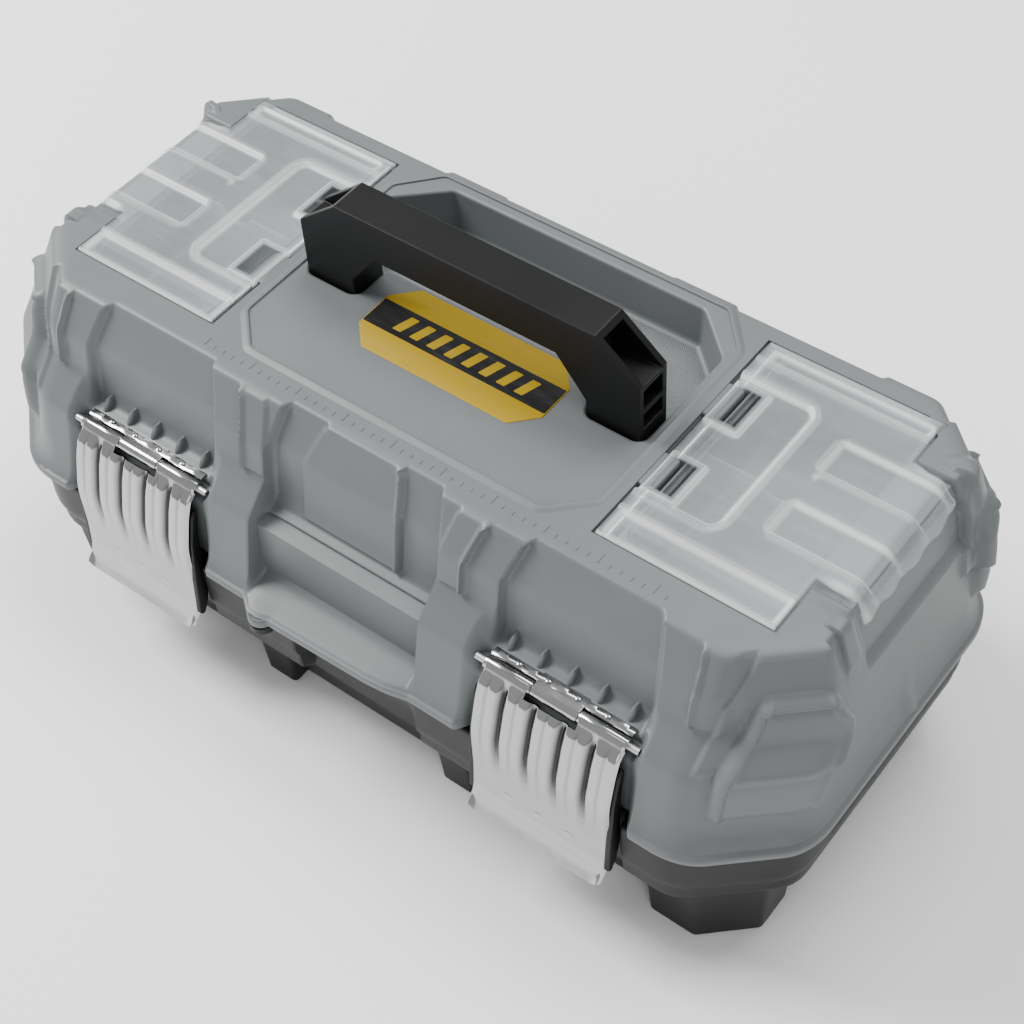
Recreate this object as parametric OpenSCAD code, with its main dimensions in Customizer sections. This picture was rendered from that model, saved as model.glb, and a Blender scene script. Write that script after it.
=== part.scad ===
/* [Case] */
// Overall length over the lid's rim bead, left to right
case_len = 430; // [400:5:460]
// Half of the rim's width, front to back
rim_half_w = 103.4; // [98:0.2:108]
// Height of the base, from its feet to the seam
seam_z = 75.5; // [70:0.5:90]
// Height of the lid, from the seam to its flat top
lid_h = 90.6; // [88:0.2:95]
// Wall thickness of the moulded shells
wall = 2.6; // [2.2:0.1:3]

/* [Lid] */
// Front edge of the flat top, measured forward of the middle
top_front = 65; // [62:0.5:68]
// Back edge of the flat top, measured behind the middle
top_back = 87; // [85:0.5:90]
// Height of the latch ledge above the seam
ledge_h = 42; // [40:0.5:44]
// Distance of the bay walls above the ledge from the middle
bay_wall = 77; // [76:0.5:79]

/* [Latches] */
// Inner edge of each latch bay, from the middle
bay_in = 75.2; // [74:0.2:78]
// Outer edge of each latch bay, from the middle
bay_out = 146.6; // [144:0.2:148]
// Sheet thickness of the steel latch covers
latch_t = 0.9; // [0.7:0.1:1.2]

/* [Handle] */
// Half of the handle's length
grip_half = 86; // [84:0.5:86]
// Front to back depth of the handle
grip_d = 18.5; // [16:0.5:19]
// Height of the handle's top above the lid's top
grip_rise = 45.4; // [42:0.2:48]

/* [Organizers] */
// Inner edge of each clear cover, from the middle
org_in = 99; // [98.8:0.1:99.4]
// Outer edge of each clear cover, before its tab
org_out = 178.6; // [176:0.2:180]
// Front edge of the clear covers
org_front = -46; // [-47:0.5:-44]
// Back edge of the clear covers
org_back = 76; // [74:0.5:77]
// Sheet thickness of the clear covers
org_t = 2; // [1.6:0.1:2.4]

/* [Tray] */
// Half of the tray's length at its top
tray_half_l = 188; // [180:1:189]
// Half of the tray's width at its top
tray_half_w = 77; // [70:0.5:77.5]
// Height of the tray's floor above the ground
tray_z = 45; // [42:0.5:50]
// Depth of the tray
tray_depth = 54; // [45:0.5:54]

/* [Hidden] */
eps = 0.01;
fine = 64;

rim_half_l = case_len / 2;
top_z = seam_z + lid_h;
ledge_z = seam_z + ledge_h;
shoulder_z = ledge_z + 14;
knee_z = top_z - 18.6;
rim_z = seam_z + 7;
bay_w = bay_out - bay_in;
centre_half = 45.5;

// base levels
skirt_z = seam_z - 26;
foot_h = 5;
foot_in = 152.6;

// hinge of the lid
hinge_y = 107.2;
hinge_z = seam_z + 1.5;
hinge_r = 4.2;
hinge_pin_r = 2;
hinge_x = 112;
hinge_len = 62;
knuckle_gap = 0.4;
run = 0.05;

// padlock tabs
tab_reach = 111.2;
tab_t = 4;
lock_x = -34;
lock_y = -105.2;
lock_r = 2.9;

// handle pivot and the pit that it folds into
grip_y0 = 1.5;
grip_y = grip_y0 + grip_d / 2;
grip_z = top_z - 9.1;
grip_pin_r = 2.5;
leg_in = 60;
pit_floor = top_z - 21;
grip_top = top_z + grip_rise;

// latch pivots
latch_y = -89;
latch_z = ledge_z - 2.2;
latch_pin_r = 1.5;
barrel_r = 3;
leaf_in = 100;
leaf_out = 121.8;

// organizer hinge rods and wells
rod_x = 102;
rod_z = top_z - 3.1;
rod_r = 1.5;
lug_r = 2.8;
lug_y = [[-16, 3], [28, 48]];
well_in = 106.5;
well_out = 176;
well_y0 = -41;
well_y1 = 71;
well_floor = top_z - 38;
org_tab_y0 = -18;
org_tab_y1 = 50;
org_skin_z = top_z - 1.8;

grey = [0.5, 0.525, 0.53];
black = [0.07, 0.07, 0.075];
steel = [0.75, 0.76, 0.77];
clear = [0.85, 0.88, 0.9, 0.45];
yellow = [0.82, 0.68, 0.1];

// An octagon: half length x, front edge -f, back edge b, corners cut by cx and cy
function oct_points(x, f, b, cx, cy) = [
    [x, -f + cy], [x, b - cy], [x - cx, b], [-x + cx, b],
    [-x, b - cy], [-x, -f + cy], [-x + cx, -f], [x - cx, -f]
];

// A thin octagonal slice at height z, used as one level of a drafted wall
module level(z, x, f, b, cx = 38, cy = 35)
    translate([0, 0, z])
        linear_extrude(height = eps)
            polygon(oct_points(x, f, b, cx, cy));

// A straight octagonal block from height z0 to z1
module oct_block(z0, z1, x, f, b, cx = 38, cy = 35)
    translate([0, 0, z0])
        linear_extrude(height = z1 - z0)
            polygon(oct_points(x, f, b, cx, cy));

// A box given by its lowest and highest corners
module span(lo, hi)
    translate(lo)
        cube(hi - lo);

// A profile in the Y-Z plane, extruded along X from x0 to x1
module along_x(x0, x1, points)
    translate([x0, 0, 0])
        rotate([90, 0, 90])
            linear_extrude(height = x1 - x0)
                polygon(points);

// A profile in the X-Z plane, extruded along Y from y0 to y1
module along_y(y0, y1, points)
    translate([0, y1, 0])
        rotate([90, 0, 0])
            linear_extrude(height = y1 - y0)
                polygon(points);

// A round bar along X
module bar_x(x0, x1, y, z, r)
    translate([x0, y, z])
        rotate([0, 90, 0])
            cylinder(h = x1 - x0, r = r, $fn = fine);

// A round bar along Y
module bar_y(y0, y1, x, z, r)
    translate([x, y0, z])
        rotate([-90, 0, 0])
            cylinder(h = y1 - y0, r = r, $fn = fine);

// The same shape on the left and on the right
module both_sides() {
    children();
    mirror([1, 0, 0]) children();
}

// ---- base ----

// Skirt below the seam, with its underside drawn in towards the body
module base_skirt()
    union() {
        oct_block(skirt_z, seam_z - 0.3, 210, 100, 100, 37, 34);
        hull() {
            level(skirt_z, 210, 100, 100, 37, 34);
            level(skirt_z - 11, 207.4, 97.4, 97.4, 36, 33);
            level(skirt_z - 17, 197, 86, 86, 31, 28);
        }
    }

// Feet and pillars, which stand proud of the lower body and reach the ground
module base_feet()
    intersection() {
        hull() {
            level(0, 198.4, 88, 88, 17, 18);
            level(skirt_z - 12, 201.4, 90.5, 90.5, 26, 25);
        }
        both_sides()
            for (side = [-1, 1]) {
                span([foot_in, min(side * 48, side * 110), -1], [215, max(side * 48, side * 110), skirt_z]);
                span([43, min(side * 60, side * 110), -1], [60, max(side * 60, side * 110), skirt_z]);
            }
    }

module base_outside() {
    base_skirt();
    base_feet();
    hull() {
        level(foot_h, 193, 82.4, 82.4, 28, 26);
        level(skirt_z - 12, 196.4, 85.2, 85.2, 31, 28);
    }
}

module base_inside() {
    hull() {
        level(foot_h + wall, 189.6, 79, 79, 28, 26);
        level(skirt_z - 9, 193.4, 82.2, 82.2, 31, 28);
    }
    hull() {
        level(skirt_z - 9.5, 193.4, 82.2, 82.2, 31, 28);
        level(skirt_z + 2, 206.6, 96.6, 96.6, 35, 32);
    }
    oct_block(skirt_z + 1.9, seam_z + 1, 206.6, 96.6, 96.6, 35, 32);
}

// Space in front of the latch bay wall, from below the seam up to the ledge
module bay_space(z0, z1, y)
    both_sides()
        span([bay_in, -130, z0], [bay_out, y, z1]);

module base_tub() {
    color(black)
    difference() {
        union() {
            difference() {
                base_outside();
                difference() {
                    base_inside();
                    // walls behind the latch bays and the middle recess
                    both_sides()
                        span([bay_in - wall, -130, 30], [bay_out + wall, -90.6, seam_z + 1]);
                    span([-25.6, -130, 30], [44.6, -89.4, seam_z - 4]);
                }
                // latch bays, cut back below the seam
                bay_space(skirt_z - 12, seam_z + 1, -93.2);
                // recess in the middle of the skirt, with a sloped top
                along_x(-23, 42, [[-110, skirt_z - 15], [-92, skirt_z - 15], [-92, skirt_z], [-110, seam_z - 8]]);
            }
            // keepers that the latch noses snap over
            both_sides()
                along_x(82, 140, [[-92.5, 60], [-92.5, 67], [-95.5, 65], [-95.5, 62]]);
            // brackets that carry the tray's end lips
            for (y = [-40, 0, 40])
                both_sides()
                    along_y(y - 4, y + 4, [[196, 69.8], [207, 69.8], [207, 54]]);
            // lower padlock lug
            lock_lug(seam_z - 4.3, seam_z - 0.3);
            // outer hinge knuckles
            both_sides()
                for (side = [-1, 1])
                    hinge_knuckle(hinge_x + side * (hinge_len / 2 - 9), 18 - knuckle_gap, -1);
        }
        both_sides()
            bar_x(hinge_x - 40, hinge_x + 40, hinge_y, hinge_z, hinge_pin_r + run);
        translate([lock_x, lock_y, seam_z - 12])
            cylinder(h = 20, r = lock_r, $fn = fine);
        // clearance for the lid's middle knuckle
        both_sides()
            span([hinge_x - 22.2, 101, 60], [hinge_x + 22.2, 120, 90]);
    }
}

// A hinge barrel with a web to the rim; up = 1 reaches up to the lid, -1 down to the base
module hinge_knuckle(x, w, up) {
    bar_x(x - w / 2, x + w / 2, hinge_y, hinge_z, hinge_r);
    if (up < 0)
        along_x(x - w / 2, x + w / 2,
            [[98, 52], [98, 72], [hinge_y, hinge_z], [hinge_y + hinge_r * 0.8, hinge_z - hinge_r * 0.6]]);
    else
        along_x(x - w / 2, x + w / 2,
            [[98, rim_z], [98, 100], [hinge_y + hinge_r * 0.8, hinge_z + hinge_r * 0.6], [hinge_y, hinge_z]]);
}

// Rounded lug that a padlock passes through
module lock_lug(z0, z1)
    translate([0, 0, z0])
        linear_extrude(height = z1 - z0)
            union() {
                polygon([[lock_x - 12, -95], [lock_x - 5.9, lock_y - 1.5], [lock_x + 5.9, lock_y - 1.5],
                    [lock_x + 12, -95]]);
                translate([lock_x, lock_y]) circle(r = tab_reach + lock_y, $fn = fine);
            }

// ---- lid ----

// Body of the lid above the latch ledge, without pillars
module lid_upper(grow = 0)
    hull() {
        level(rim_z - 1, 210 + grow, bay_wall + grow, 99 + grow);
        level(knee_z, 203 + grow, bay_wall + grow, 93.5 + grow, 33, 30);
        level(top_z + grow, 196 + grow, top_front + grow, top_back + grow, 29, 27);
    }

// Lower body of the lid with its shoulder, which shows at the pillars and the corners
module lid_lower(grow = 0)
    hull() {
        level(rim_z - 1, 210 + grow, 99 + grow, 99 + grow);
        level(ledge_z, 207 + grow, 92 + grow, 96.6 + grow, 36, 33);
        level(shoulder_z, 205.4 + grow, bay_wall + grow, 95.4 + grow, 35, 32);
    }

// Front of the middle bay: recessed wall, bead ledge, lower wall and ramp
middle_front = [
    [-70, rim_z - 1], [-101, rim_z - 1], [-101, rim_z], [-90, rim_z + 4], [-83, rim_z + 12],
    [-80.5, ledge_z - 4], [-80.5, ledge_z - 1], [-76.5, ledge_z], [-70, ledge_z]
];

module lid_outside() {
    difference() {
        lid_upper();
        // recess of the middle bay, above its bead
        along_x(-centre_half, centre_half,
            [[-85, ledge_z], [-75.5, ledge_z], [-71, knee_z + 4], [-64.8, top_z + 0.5], [-85, top_z + 0.5]]);
    }
    intersection() {
        lid_lower();
        union() {
            both_sides() {
                span([centre_half, -120, seam_z], [bay_in, -60, top_z]);
                span([bay_out, -120, seam_z], [215, 120, top_z]);
            }
            span([-215, 0, seam_z], [215, 120, top_z]);
        }
    }
    along_x(-centre_half - 1, centre_half + 1, middle_front);
    // ledge and wall of the latch bays
    both_sides()
        along_x(bay_in - 1, bay_out + 1,
            [[-70, rim_z - 1], [-86, rim_z - 1], [-86, ledge_z - 7], [-91, ledge_z - 5], [-91, ledge_z], [-70, ledge_z]]);
    // rim with its bead
    oct_block(seam_z, rim_z, rim_half_l - 1.6, rim_half_w - 1.6, rim_half_w - 1.6);
    oct_block(seam_z + 0.8, seam_z + 5, rim_half_l, rim_half_w, rim_half_w);
    // padlock tab
    lock_lug(seam_z + 0.3, seam_z + 0.3 + tab_t);
    translate([0, 0, seam_z + 0.3])
        linear_extrude(height = tab_t)
            polygon([[-45, -100], [-39, -110], [30, -106.5], [42, -100]]);
    // upright fins on the latch ledges
    both_sides()
        for (i = [0 : 4])
            translate([bay_in + bay_w * (i + 0.5) / 5, 0, 0])
                along_x(-1.2, 1.2,
                    [[-75, ledge_z - 1], [-81.5, ledge_z - 1], [-81.5, ledge_z + 2], [-78, ledge_z + 8.5],
                     [-75, ledge_z + 8.5]]);
    // raised border of the middle panel
    along_x(-26, 23, [[-70, ledge_z + 2], [-76.4, ledge_z + 2], [-72.4, knee_z], [-70, knee_z + 2]]);
}

module lid_inside() {
    hull() {
        level(seam_z - 1, 207, 95.6, 95.6);
        level(ledge_z - 3.4, 204, 88.6, 93.2, 36, 33);
    }
    hull() {
        level(ledge_z - 4, 204, bay_wall - wall, 93.2, 36, 33);
        level(knee_z, 200, bay_wall - wall - 4, 90.6, 33, 30);
        level(top_z - wall, 193.4, top_front - wall - 2, top_back - wall, 29, 27);
    }
}

// Walls behind the latch bays and the middle bay, kept solid inside the lid
module bay_backing() {
    both_sides()
        span([bay_in - wall, -130, seam_z - 2], [bay_out + wall, -82.6, ledge_z]);
    along_x(-centre_half - wall, centre_half + wall,
        [[-130, seam_z - 2], [-96, seam_z - 2], [-96, rim_z - 2], [-87.4, rim_z + 1.4], [-80.4, rim_z + 11],
         [-77.7, ledge_z], [-130, ledge_z]]);
}

// The pocket for the folded handle, seen from above
pit_points = [
    [-87.5, 0.6], [-58.5, 0.6], [-58.5, 21], [58.5, 21], [58.5, 0.6], [87.5, 0.6],
    [87.5, 57], [66, 76.4], [-66, 76.4], [-87.5, 57]
];

module lid_shell() {
    color(grey)
    difference() {
        union() {
            difference() {
                lid_outside();
                difference() {
                    lid_inside();
                    bay_backing();
                }
            }
            // walls of the pit and of the organizer wells
            intersection() {
                lid_upper();
                union() {
                    translate([0, 0, pit_floor - wall])
                        linear_extrude(height = 21 + wall)
                            polygon([[-91, -3], [91, -3], [91, 60], [68, 80], [-68, 80], [-91, 60]]);
                    both_sides()
                        span([94.5, well_y0 - wall, well_floor - wall],
                            [well_out + wall, well_y1 + wall, top_z]);
                }
            }
            // middle hinge knuckle
            both_sides()
                hinge_knuckle(hinge_x, 43.6, 1);
        }
        // pit
        translate([0, 0, pit_floor])
            linear_extrude(height = 30)
                polygon(pit_points);
        both_sides() {
            // seat, hinge trough and well of the organizer
            span([97.2, org_front - 0.5, org_skin_z - 0.6], [org_out + 0.5, org_back + 0.5, top_z + 5]);
            difference() {
                span([97.2, org_front - 0.5, rod_z - 4.8], [well_in, org_back + 0.5, top_z + 5]);
                for (y = lug_y)
                    span([95, y[0], rod_z - 9], [rod_x + lug_r, y[1], rod_z + lug_r - 0.3]);
            }
            span([well_in, well_y0, well_floor], [well_out, well_y1, top_z + 5]);
            // finger space under the organizer's tab
            along_y(org_tab_y0 - 4, org_tab_y1 + 4,
                [[org_out - 2, org_skin_z - 0.6], [190, org_skin_z - 0.6], [198.6, top_z - 13], [199, top_z - 26],
                 [225, top_z - 34], [225, top_z + 5], [org_out - 2, top_z + 5]]);
            bar_y(org_front + 1.6, org_back - 1.6, rod_x, rod_z, rod_r);
            // bores of the handle pins and of the latch pins
            bar_x(leg_in - 5, 92.5, grip_y, grip_z, grip_pin_r);
            bar_x(bay_in - 3, bay_out + 3, latch_y, latch_z, latch_pin_r);
            // groove that the latch barrel turns in
            bar_x(bay_in, bay_out, latch_y, latch_z, barrel_r + 0.6);
            // rim cut away at the latch
            span([bay_in, -130, seam_z - 1], [bay_out, -93.2, ledge_z - 5.6]);
            // bore of the lid hinge
            bar_x(hinge_x - 40, hinge_x + 40, hinge_y, hinge_z, hinge_pin_r);
            // clearance for the base's outer knuckles
            for (side = [-1, 1])
                translate([hinge_x + side * 31, 0, 0])
                    span([-9.2, 102, 60], [9.2, 125, 100]);
        }
        translate([lock_x, lock_y, seam_z - 2])
            cylinder(h = 20, r = lock_r, $fn = fine);
        // hollow under the land between the handle's legs
        span([-54.5, -0.4, pit_floor - wall - 1], [54.5, 18.4, top_z - wall]);
        // shallow seat of the label
        translate([0, 0, top_z - 0.3])
            linear_extrude(height = 2)
                polygon(label_points(48, 20.5, label_y));
    }
}

// ---- label ----

label_y = -1;

function label_points(x, y, yc) = [
    [x, yc - y + 10.5], [x, yc + y - 10.5], [x - 10, yc + y], [-x + 10, yc + y],
    [-x, yc + y - 10.5], [-x, yc - y + 10.5], [-x + 10, yc - y], [x - 10, yc - y]
];

module label_plate() {
    color(yellow)
    translate([0, 0, top_z - 0.3])
        linear_extrude(height = 0.7)
            polygon(label_points(47.5, 20, label_y));
}

// ---- lid hinge pins ----

module lid_hinge_pin(side) {
    color(steel)
    bar_x(side * hinge_x - hinge_len / 2 + 0.5, side * hinge_x + hinge_len / 2 - 0.5, hinge_y, hinge_z,
        hinge_pin_r);
}

// ---- carry handle ----

// Outline of the handle in the X-Z plane
grip_points = [
    [grip_half, grip_z], [grip_half, grip_top - 17], [grip_half - 21, grip_top], [-grip_half + 21, grip_top],
    [-grip_half, grip_top - 17], [-grip_half, grip_z], [-leg_in, grip_z], [-leg_in, grip_top - 38],
    [-leg_in + 14, grip_top - 20], [leg_in - 14, grip_top - 20], [leg_in, grip_top - 38], [leg_in, grip_z]
];

module carry_handle() {
    color(black)
    difference() {
        union() {
            along_y(grip_y0, grip_y0 + grip_d, grip_points);
            both_sides()
                bar_x(leg_in, grip_half, grip_y, grip_z, grip_d / 2);
        }
        both_sides() {
            bar_x(leg_in - 1, grip_half + 1, grip_y, grip_z, grip_pin_r + run);
            // three hollows between cross ribs, open to the end
            along_y(grip_y0 + 3, grip_y0 + grip_d - 3,
                [[leg_in + 3, grip_z + 13], [grip_half + 1, grip_z + 13], [grip_half + 1, grip_z + 21],
                 [leg_in + 3, grip_z + 21]]);
            along_y(grip_y0 + 3, grip_y0 + grip_d - 3,
                [[leg_in + 3, grip_z + 23.5], [grip_half + 1, grip_z + 23.5], [grip_half + 1, grip_z + 34],
                 [leg_in + 3, grip_z + 34]]);
            along_y(grip_y0 + 3, grip_y0 + grip_d - 3,
                [[leg_in + 2, grip_z + 36.5], [grip_half + 1, grip_z + 36.5], [grip_half + 1, grip_top - 15],
                 [grip_half - 17, grip_top - 1], [grip_half - 20, grip_top - 3.5], [leg_in - 2, grip_z + 42]]);
        }
    }
}

module handle_pin(side) {
    color(steel)
    bar_x(side > 0 ? leg_in - 5 : -92.5, side > 0 ? 92.5 : -leg_in + 5, grip_y, grip_z, grip_pin_r);
}

// ---- latches ----

// Outer line of the latch cover, from its hinge barrel down to the finger flare
cover_line = [
    [latch_y - barrel_r, latch_z], [-97.5, ledge_z - 14], [-101.5, ledge_z - 29], [-104.3, ledge_z - 50],
    [-105.8, ledge_z - 68], [-107.4, ledge_z - 73], [-110.9, ledge_z - 78]
];

function shifted(points, dy, dz) = [for (p = points) [p[0] + dy, p[1] + dz]];
function reversed(points) = [for (i = [len(points) - 1 : -1 : 0]) points[i]];

// The pieces of a hinge barrel along the bay: w = [start, end] from the bay's inner edge
module barrel(x0, x1, bore)
    difference() {
        bar_x(x0, x1, latch_y, latch_z, barrel_r);
        bar_x(x0 - 1, x1 + 1, latch_y, latch_z, bore);
    }

module latch_cover() {
    color(steel) {
        difference() {
            along_x(bay_in + 0.8, bay_out - 0.8,
                concat(cover_line, reversed(shifted(cover_line, latch_t, -0.2))));
            // notch in front of the leaf's barrel
            bar_x(leaf_in - 0.3, leaf_out + 0.3, latch_y, latch_z, barrel_r + 0.3);
        }
        barrel(bay_in + 0.8, leaf_in - 0.3, latch_pin_r + run);
        barrel(leaf_out + 0.3, bay_out - 0.8, latch_pin_r + run);
    }
}

module latch_leaf() {
    color(steel) {
        difference() {
            along_x(leaf_in, leaf_out,
                [[latch_y, ledge_z], [-81.8, ledge_z], [-81.8, ledge_z + 0.8], [latch_y, ledge_z + 0.8]]);
            bar_x(leaf_in - 1, leaf_out + 1, latch_y, latch_z, barrel_r - 0.3);
        }
        barrel(leaf_in, leaf_out, latch_pin_r);
    }
}

module latch_lever() {
    color(black)
    along_x(bay_in + 5, bay_out - 5, [
        [-97.4, ledge_z - 18], [-100.3, ledge_z - 29], [-103.1, ledge_z - 50], [-104.2, ledge_z - 64],
        [-97, ledge_z - 64], [-96.2, ledge_z - 60], [-96.2, ledge_z - 56], [-99, ledge_z - 48],
        [-97, ledge_z - 36], [-95, ledge_z - 18]
    ]);
}

module latch_pin() {
    color(steel)
    bar_x(bay_in - 3, bay_out + 3, latch_y, latch_z, latch_pin_r);
}

// ---- organizers ----

module organizer_cover() {
    color(clear)
    difference() {
        union() {
            span([org_in, org_front, org_skin_z], [org_out, org_back, org_skin_z + org_t]);
            // tab that droops over the end wall
            along_y(org_tab_y0, org_tab_y1, [
                [org_out - 1, org_skin_z], [191, org_skin_z], [199.4, top_z - 12], [199.6, top_z - 14],
                [201.4, top_z - 14], [201.4, top_z - 11], [192.4, org_skin_z + org_t], [org_out - 1, org_skin_z + org_t]
            ]);
            // hinge barrel beside and between the lugs
            for (y = [[org_front + 2, -16.4], [3.4, 27.6], [48.4, org_back - 2]]) {
                bar_y(y[0], y[1], rod_x, rod_z, lug_r);
                span([rod_x - lug_r, y[0], rod_z], [rod_x + lug_r, y[1], org_skin_z + 0.5]);
            }
            // rim that drops into the well
            difference() {
                span([well_in + 0.6, well_y0 + 0.6, org_skin_z - 3], [well_out - 0.6, well_y1 - 0.6, org_skin_z + 0.5]);
                span([well_in + 2, well_y0 + 2, org_skin_z - 4], [well_out - 2, well_y1 - 2, org_skin_z]);
            }
        }
        // windows over the lugs
        for (y = lug_y)
            span([org_in - 1, y[0] - 0.4, rod_z - 6], [rod_x + lug_r + 2.2, y[1] + 0.4, top_z + 3]);
        bar_y(org_front, org_back, rod_x, rod_z, rod_r + run);
    }
}

module organizer_rod() {
    color(steel)
    bar_y(org_front + 1.6, org_back - 1.6, rod_x, rod_z, rod_r);
}

module organizer_divider() {
    color(clear)
    difference() {
        span([well_in + 0.4, 14, well_floor], [well_out - 0.4, 15.6, org_skin_z - 3.4]);
        // finger notch
        translate([(well_in + well_out) / 2, 20, org_skin_z])
            rotate([90, 0, 0])
                cylinder(h = 10, r = 9, $fn = fine);
    }
}

// ---- tray ----

tray_wall = 2.2;
tray_top = tray_z + tray_depth;

module tray_body() {
    color(black)
    difference() {
        union() {
            hull() {
                level(tray_z, tray_half_l - 3, tray_half_w - 2, tray_half_w - 2, 26, 24);
                level(tray_top, tray_half_l, tray_half_w, tray_half_w, 27, 25);
            }
            // end lips that rest on the brackets
            both_sides()
                span([tray_half_l - 8, -50, 70], [204.6, 50, 72.4]);
        }
        difference() {
            hull() {
                level(tray_z + tray_wall, tray_half_l - 6, tray_half_w - 5, tray_half_w - 5, 26, 24);
                level(tray_top + 1, tray_half_l - tray_wall, tray_half_w - tray_wall, tray_half_w - tray_wall, 27, 25);
            }
            // middle wall and cross wall
            span([-tray_half_l, -1.2, tray_z], [tray_half_l, 1.2, tray_top - 6]);
            span([-1.1, 0, tray_z], [1.1, tray_half_w, tray_top - 8]);
        }
    }
}

module tray_handle() {
    color(black)
    difference() {
        along_y(-6, 6, [
            [62, tray_top - 16], [62, tray_top + 6], [52, tray_top + 18], [-52, tray_top + 18],
            [-62, tray_top + 6], [-62, tray_top - 16], [-50, tray_top - 16], [-50, tray_top + 2],
            [-46, tray_top + 8], [46, tray_top + 8], [50, tray_top + 2], [50, tray_top - 16]
        ]);
        // slot that straddles the middle wall
        span([-70, -1.3, tray_top - 20], [70, 1.3, tray_top - 6]);
    }
}

module tray_divider(x, side) {
    color(grey)
    span([x - 0.9, side > 0 ? 1.4 : -tray_half_w + 6, tray_z + tray_wall],
        [x + 0.9, side > 0 ? tray_half_w - 6 : -1.4, tray_top - 9]);
}

base_tub();
lid_shell();
label_plate();
lid_hinge_pin(-1);  // lid_hinge_pin_left
lid_hinge_pin(1);  // lid_hinge_pin_right
carry_handle();
handle_pin(-1);  // handle_pin_left
handle_pin(1);  // handle_pin_right
mirror([1, 0, 0]) latch_leaf();  // latch_leaf_left
latch_leaf();  // latch_leaf_right
mirror([1, 0, 0]) latch_pin();  // latch_pin_left
latch_pin();  // latch_pin_right
mirror([1, 0, 0]) latch_cover();  // latch_cover_left
latch_cover();  // latch_cover_right
mirror([1, 0, 0]) latch_lever();  // latch_lever_left
latch_lever();  // latch_lever_right
mirror([1, 0, 0]) organizer_cover();  // organizer_cover_left
organizer_cover();  // organizer_cover_right
mirror([1, 0, 0]) organizer_rod();  // organizer_rod_left
organizer_rod();  // organizer_rod_right
mirror([1, 0, 0]) organizer_divider();  // organizer_divider_left
organizer_divider();  // organizer_divider_right
tray_body();
tray_handle();
tray_divider(-95, -1);  // tray_divider_left
tray_divider(0, -1);  // tray_divider_middle
tray_divider(95, 1);  // tray_divider_right
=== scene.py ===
"""Toolbox with a tray: moulded lid and base, steel latches, clear organizer covers and a folding handle.
Numbers are millimetres, with +X along the box, -Y to the front and +Z up from the ground; meshes are
in metres."""
import math

import bmesh
import bpy
import numpy as np
from mathutils import Matrix, Vector
from mathutils.geometry import delaunay_2d_cdt


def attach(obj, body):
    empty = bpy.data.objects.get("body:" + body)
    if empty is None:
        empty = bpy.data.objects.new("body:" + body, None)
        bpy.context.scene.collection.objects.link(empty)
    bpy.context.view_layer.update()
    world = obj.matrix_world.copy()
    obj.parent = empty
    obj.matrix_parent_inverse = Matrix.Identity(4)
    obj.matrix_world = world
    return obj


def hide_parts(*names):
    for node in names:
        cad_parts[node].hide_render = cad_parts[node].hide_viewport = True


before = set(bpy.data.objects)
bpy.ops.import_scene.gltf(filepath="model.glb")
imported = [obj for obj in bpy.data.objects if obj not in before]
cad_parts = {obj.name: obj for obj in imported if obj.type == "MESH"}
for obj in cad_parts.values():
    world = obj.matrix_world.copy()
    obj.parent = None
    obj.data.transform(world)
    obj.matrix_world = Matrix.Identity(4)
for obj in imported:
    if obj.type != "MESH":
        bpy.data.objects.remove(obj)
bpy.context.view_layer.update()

SEAM = 75.5  # height of the line where lid and base meet
DECK = 166.1  # height of the lid's flat top
SKIN = 164.3  # underside of the clear covers
SEAT = 163.7  # floor of the covers' seats
WELL_FLOOR = 128.1
PIT_FLOOR = 145.1


# ---- shaping functions ----


def ease(x, a, b):
    """Smooth step: 0 at a, 1 at b, and 3t^2 - 2t^3 between them; a may be above b."""
    t = np.clip((np.asarray(x, float) - a) / (b - a), 0, 1)
    return t * t * (3 - 2 * t)


def bead(x, c, w):
    """Rounded ridge across x: (1 - t^2)^2, where t is the distance from c over w."""
    t = np.clip(np.abs(np.asarray(x, float) - c) / w, 0, 1)
    return (1 - t * t) ** 2


def band(x, a, b, soft):
    """1 from a to b, with s-curved edges soft wide that are centred on a and on b."""
    return ease(x, a - soft / 2, a + soft / 2) * (1 - ease(x, b - soft / 2, b + soft / 2))


def stations(a, b, coarse, fine, marks, reach):
    """Places from a to b: coarse apart, but fine apart near each mark. The wanted density is summed
    along the way and the sum is cut into equal parts."""
    x = np.linspace(a, b, 6000)
    near = np.exp(-(((x[:, None] - np.array(marks, float)[None]) / reach) ** 2)).max(axis=1)
    density = 1 / coarse + (1 / fine - 1 / coarse) * near
    total = np.concatenate([[0], np.cumsum((density[1:] + density[:-1]) / 2 * np.diff(x))])
    return np.interp(np.linspace(0, total[-1], int(math.ceil(total[-1])) + 1), total, x)


def relax(a, passes):
    """Rounds a profile: each inner value becomes (before + 2 own + after) / 4, as often as passes says."""
    a = np.array(a, float)
    for _ in range(passes):
        a[1:-1] = (a[:-2] + 2 * a[1:-1] + a[2:]) / 4
    return a


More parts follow.
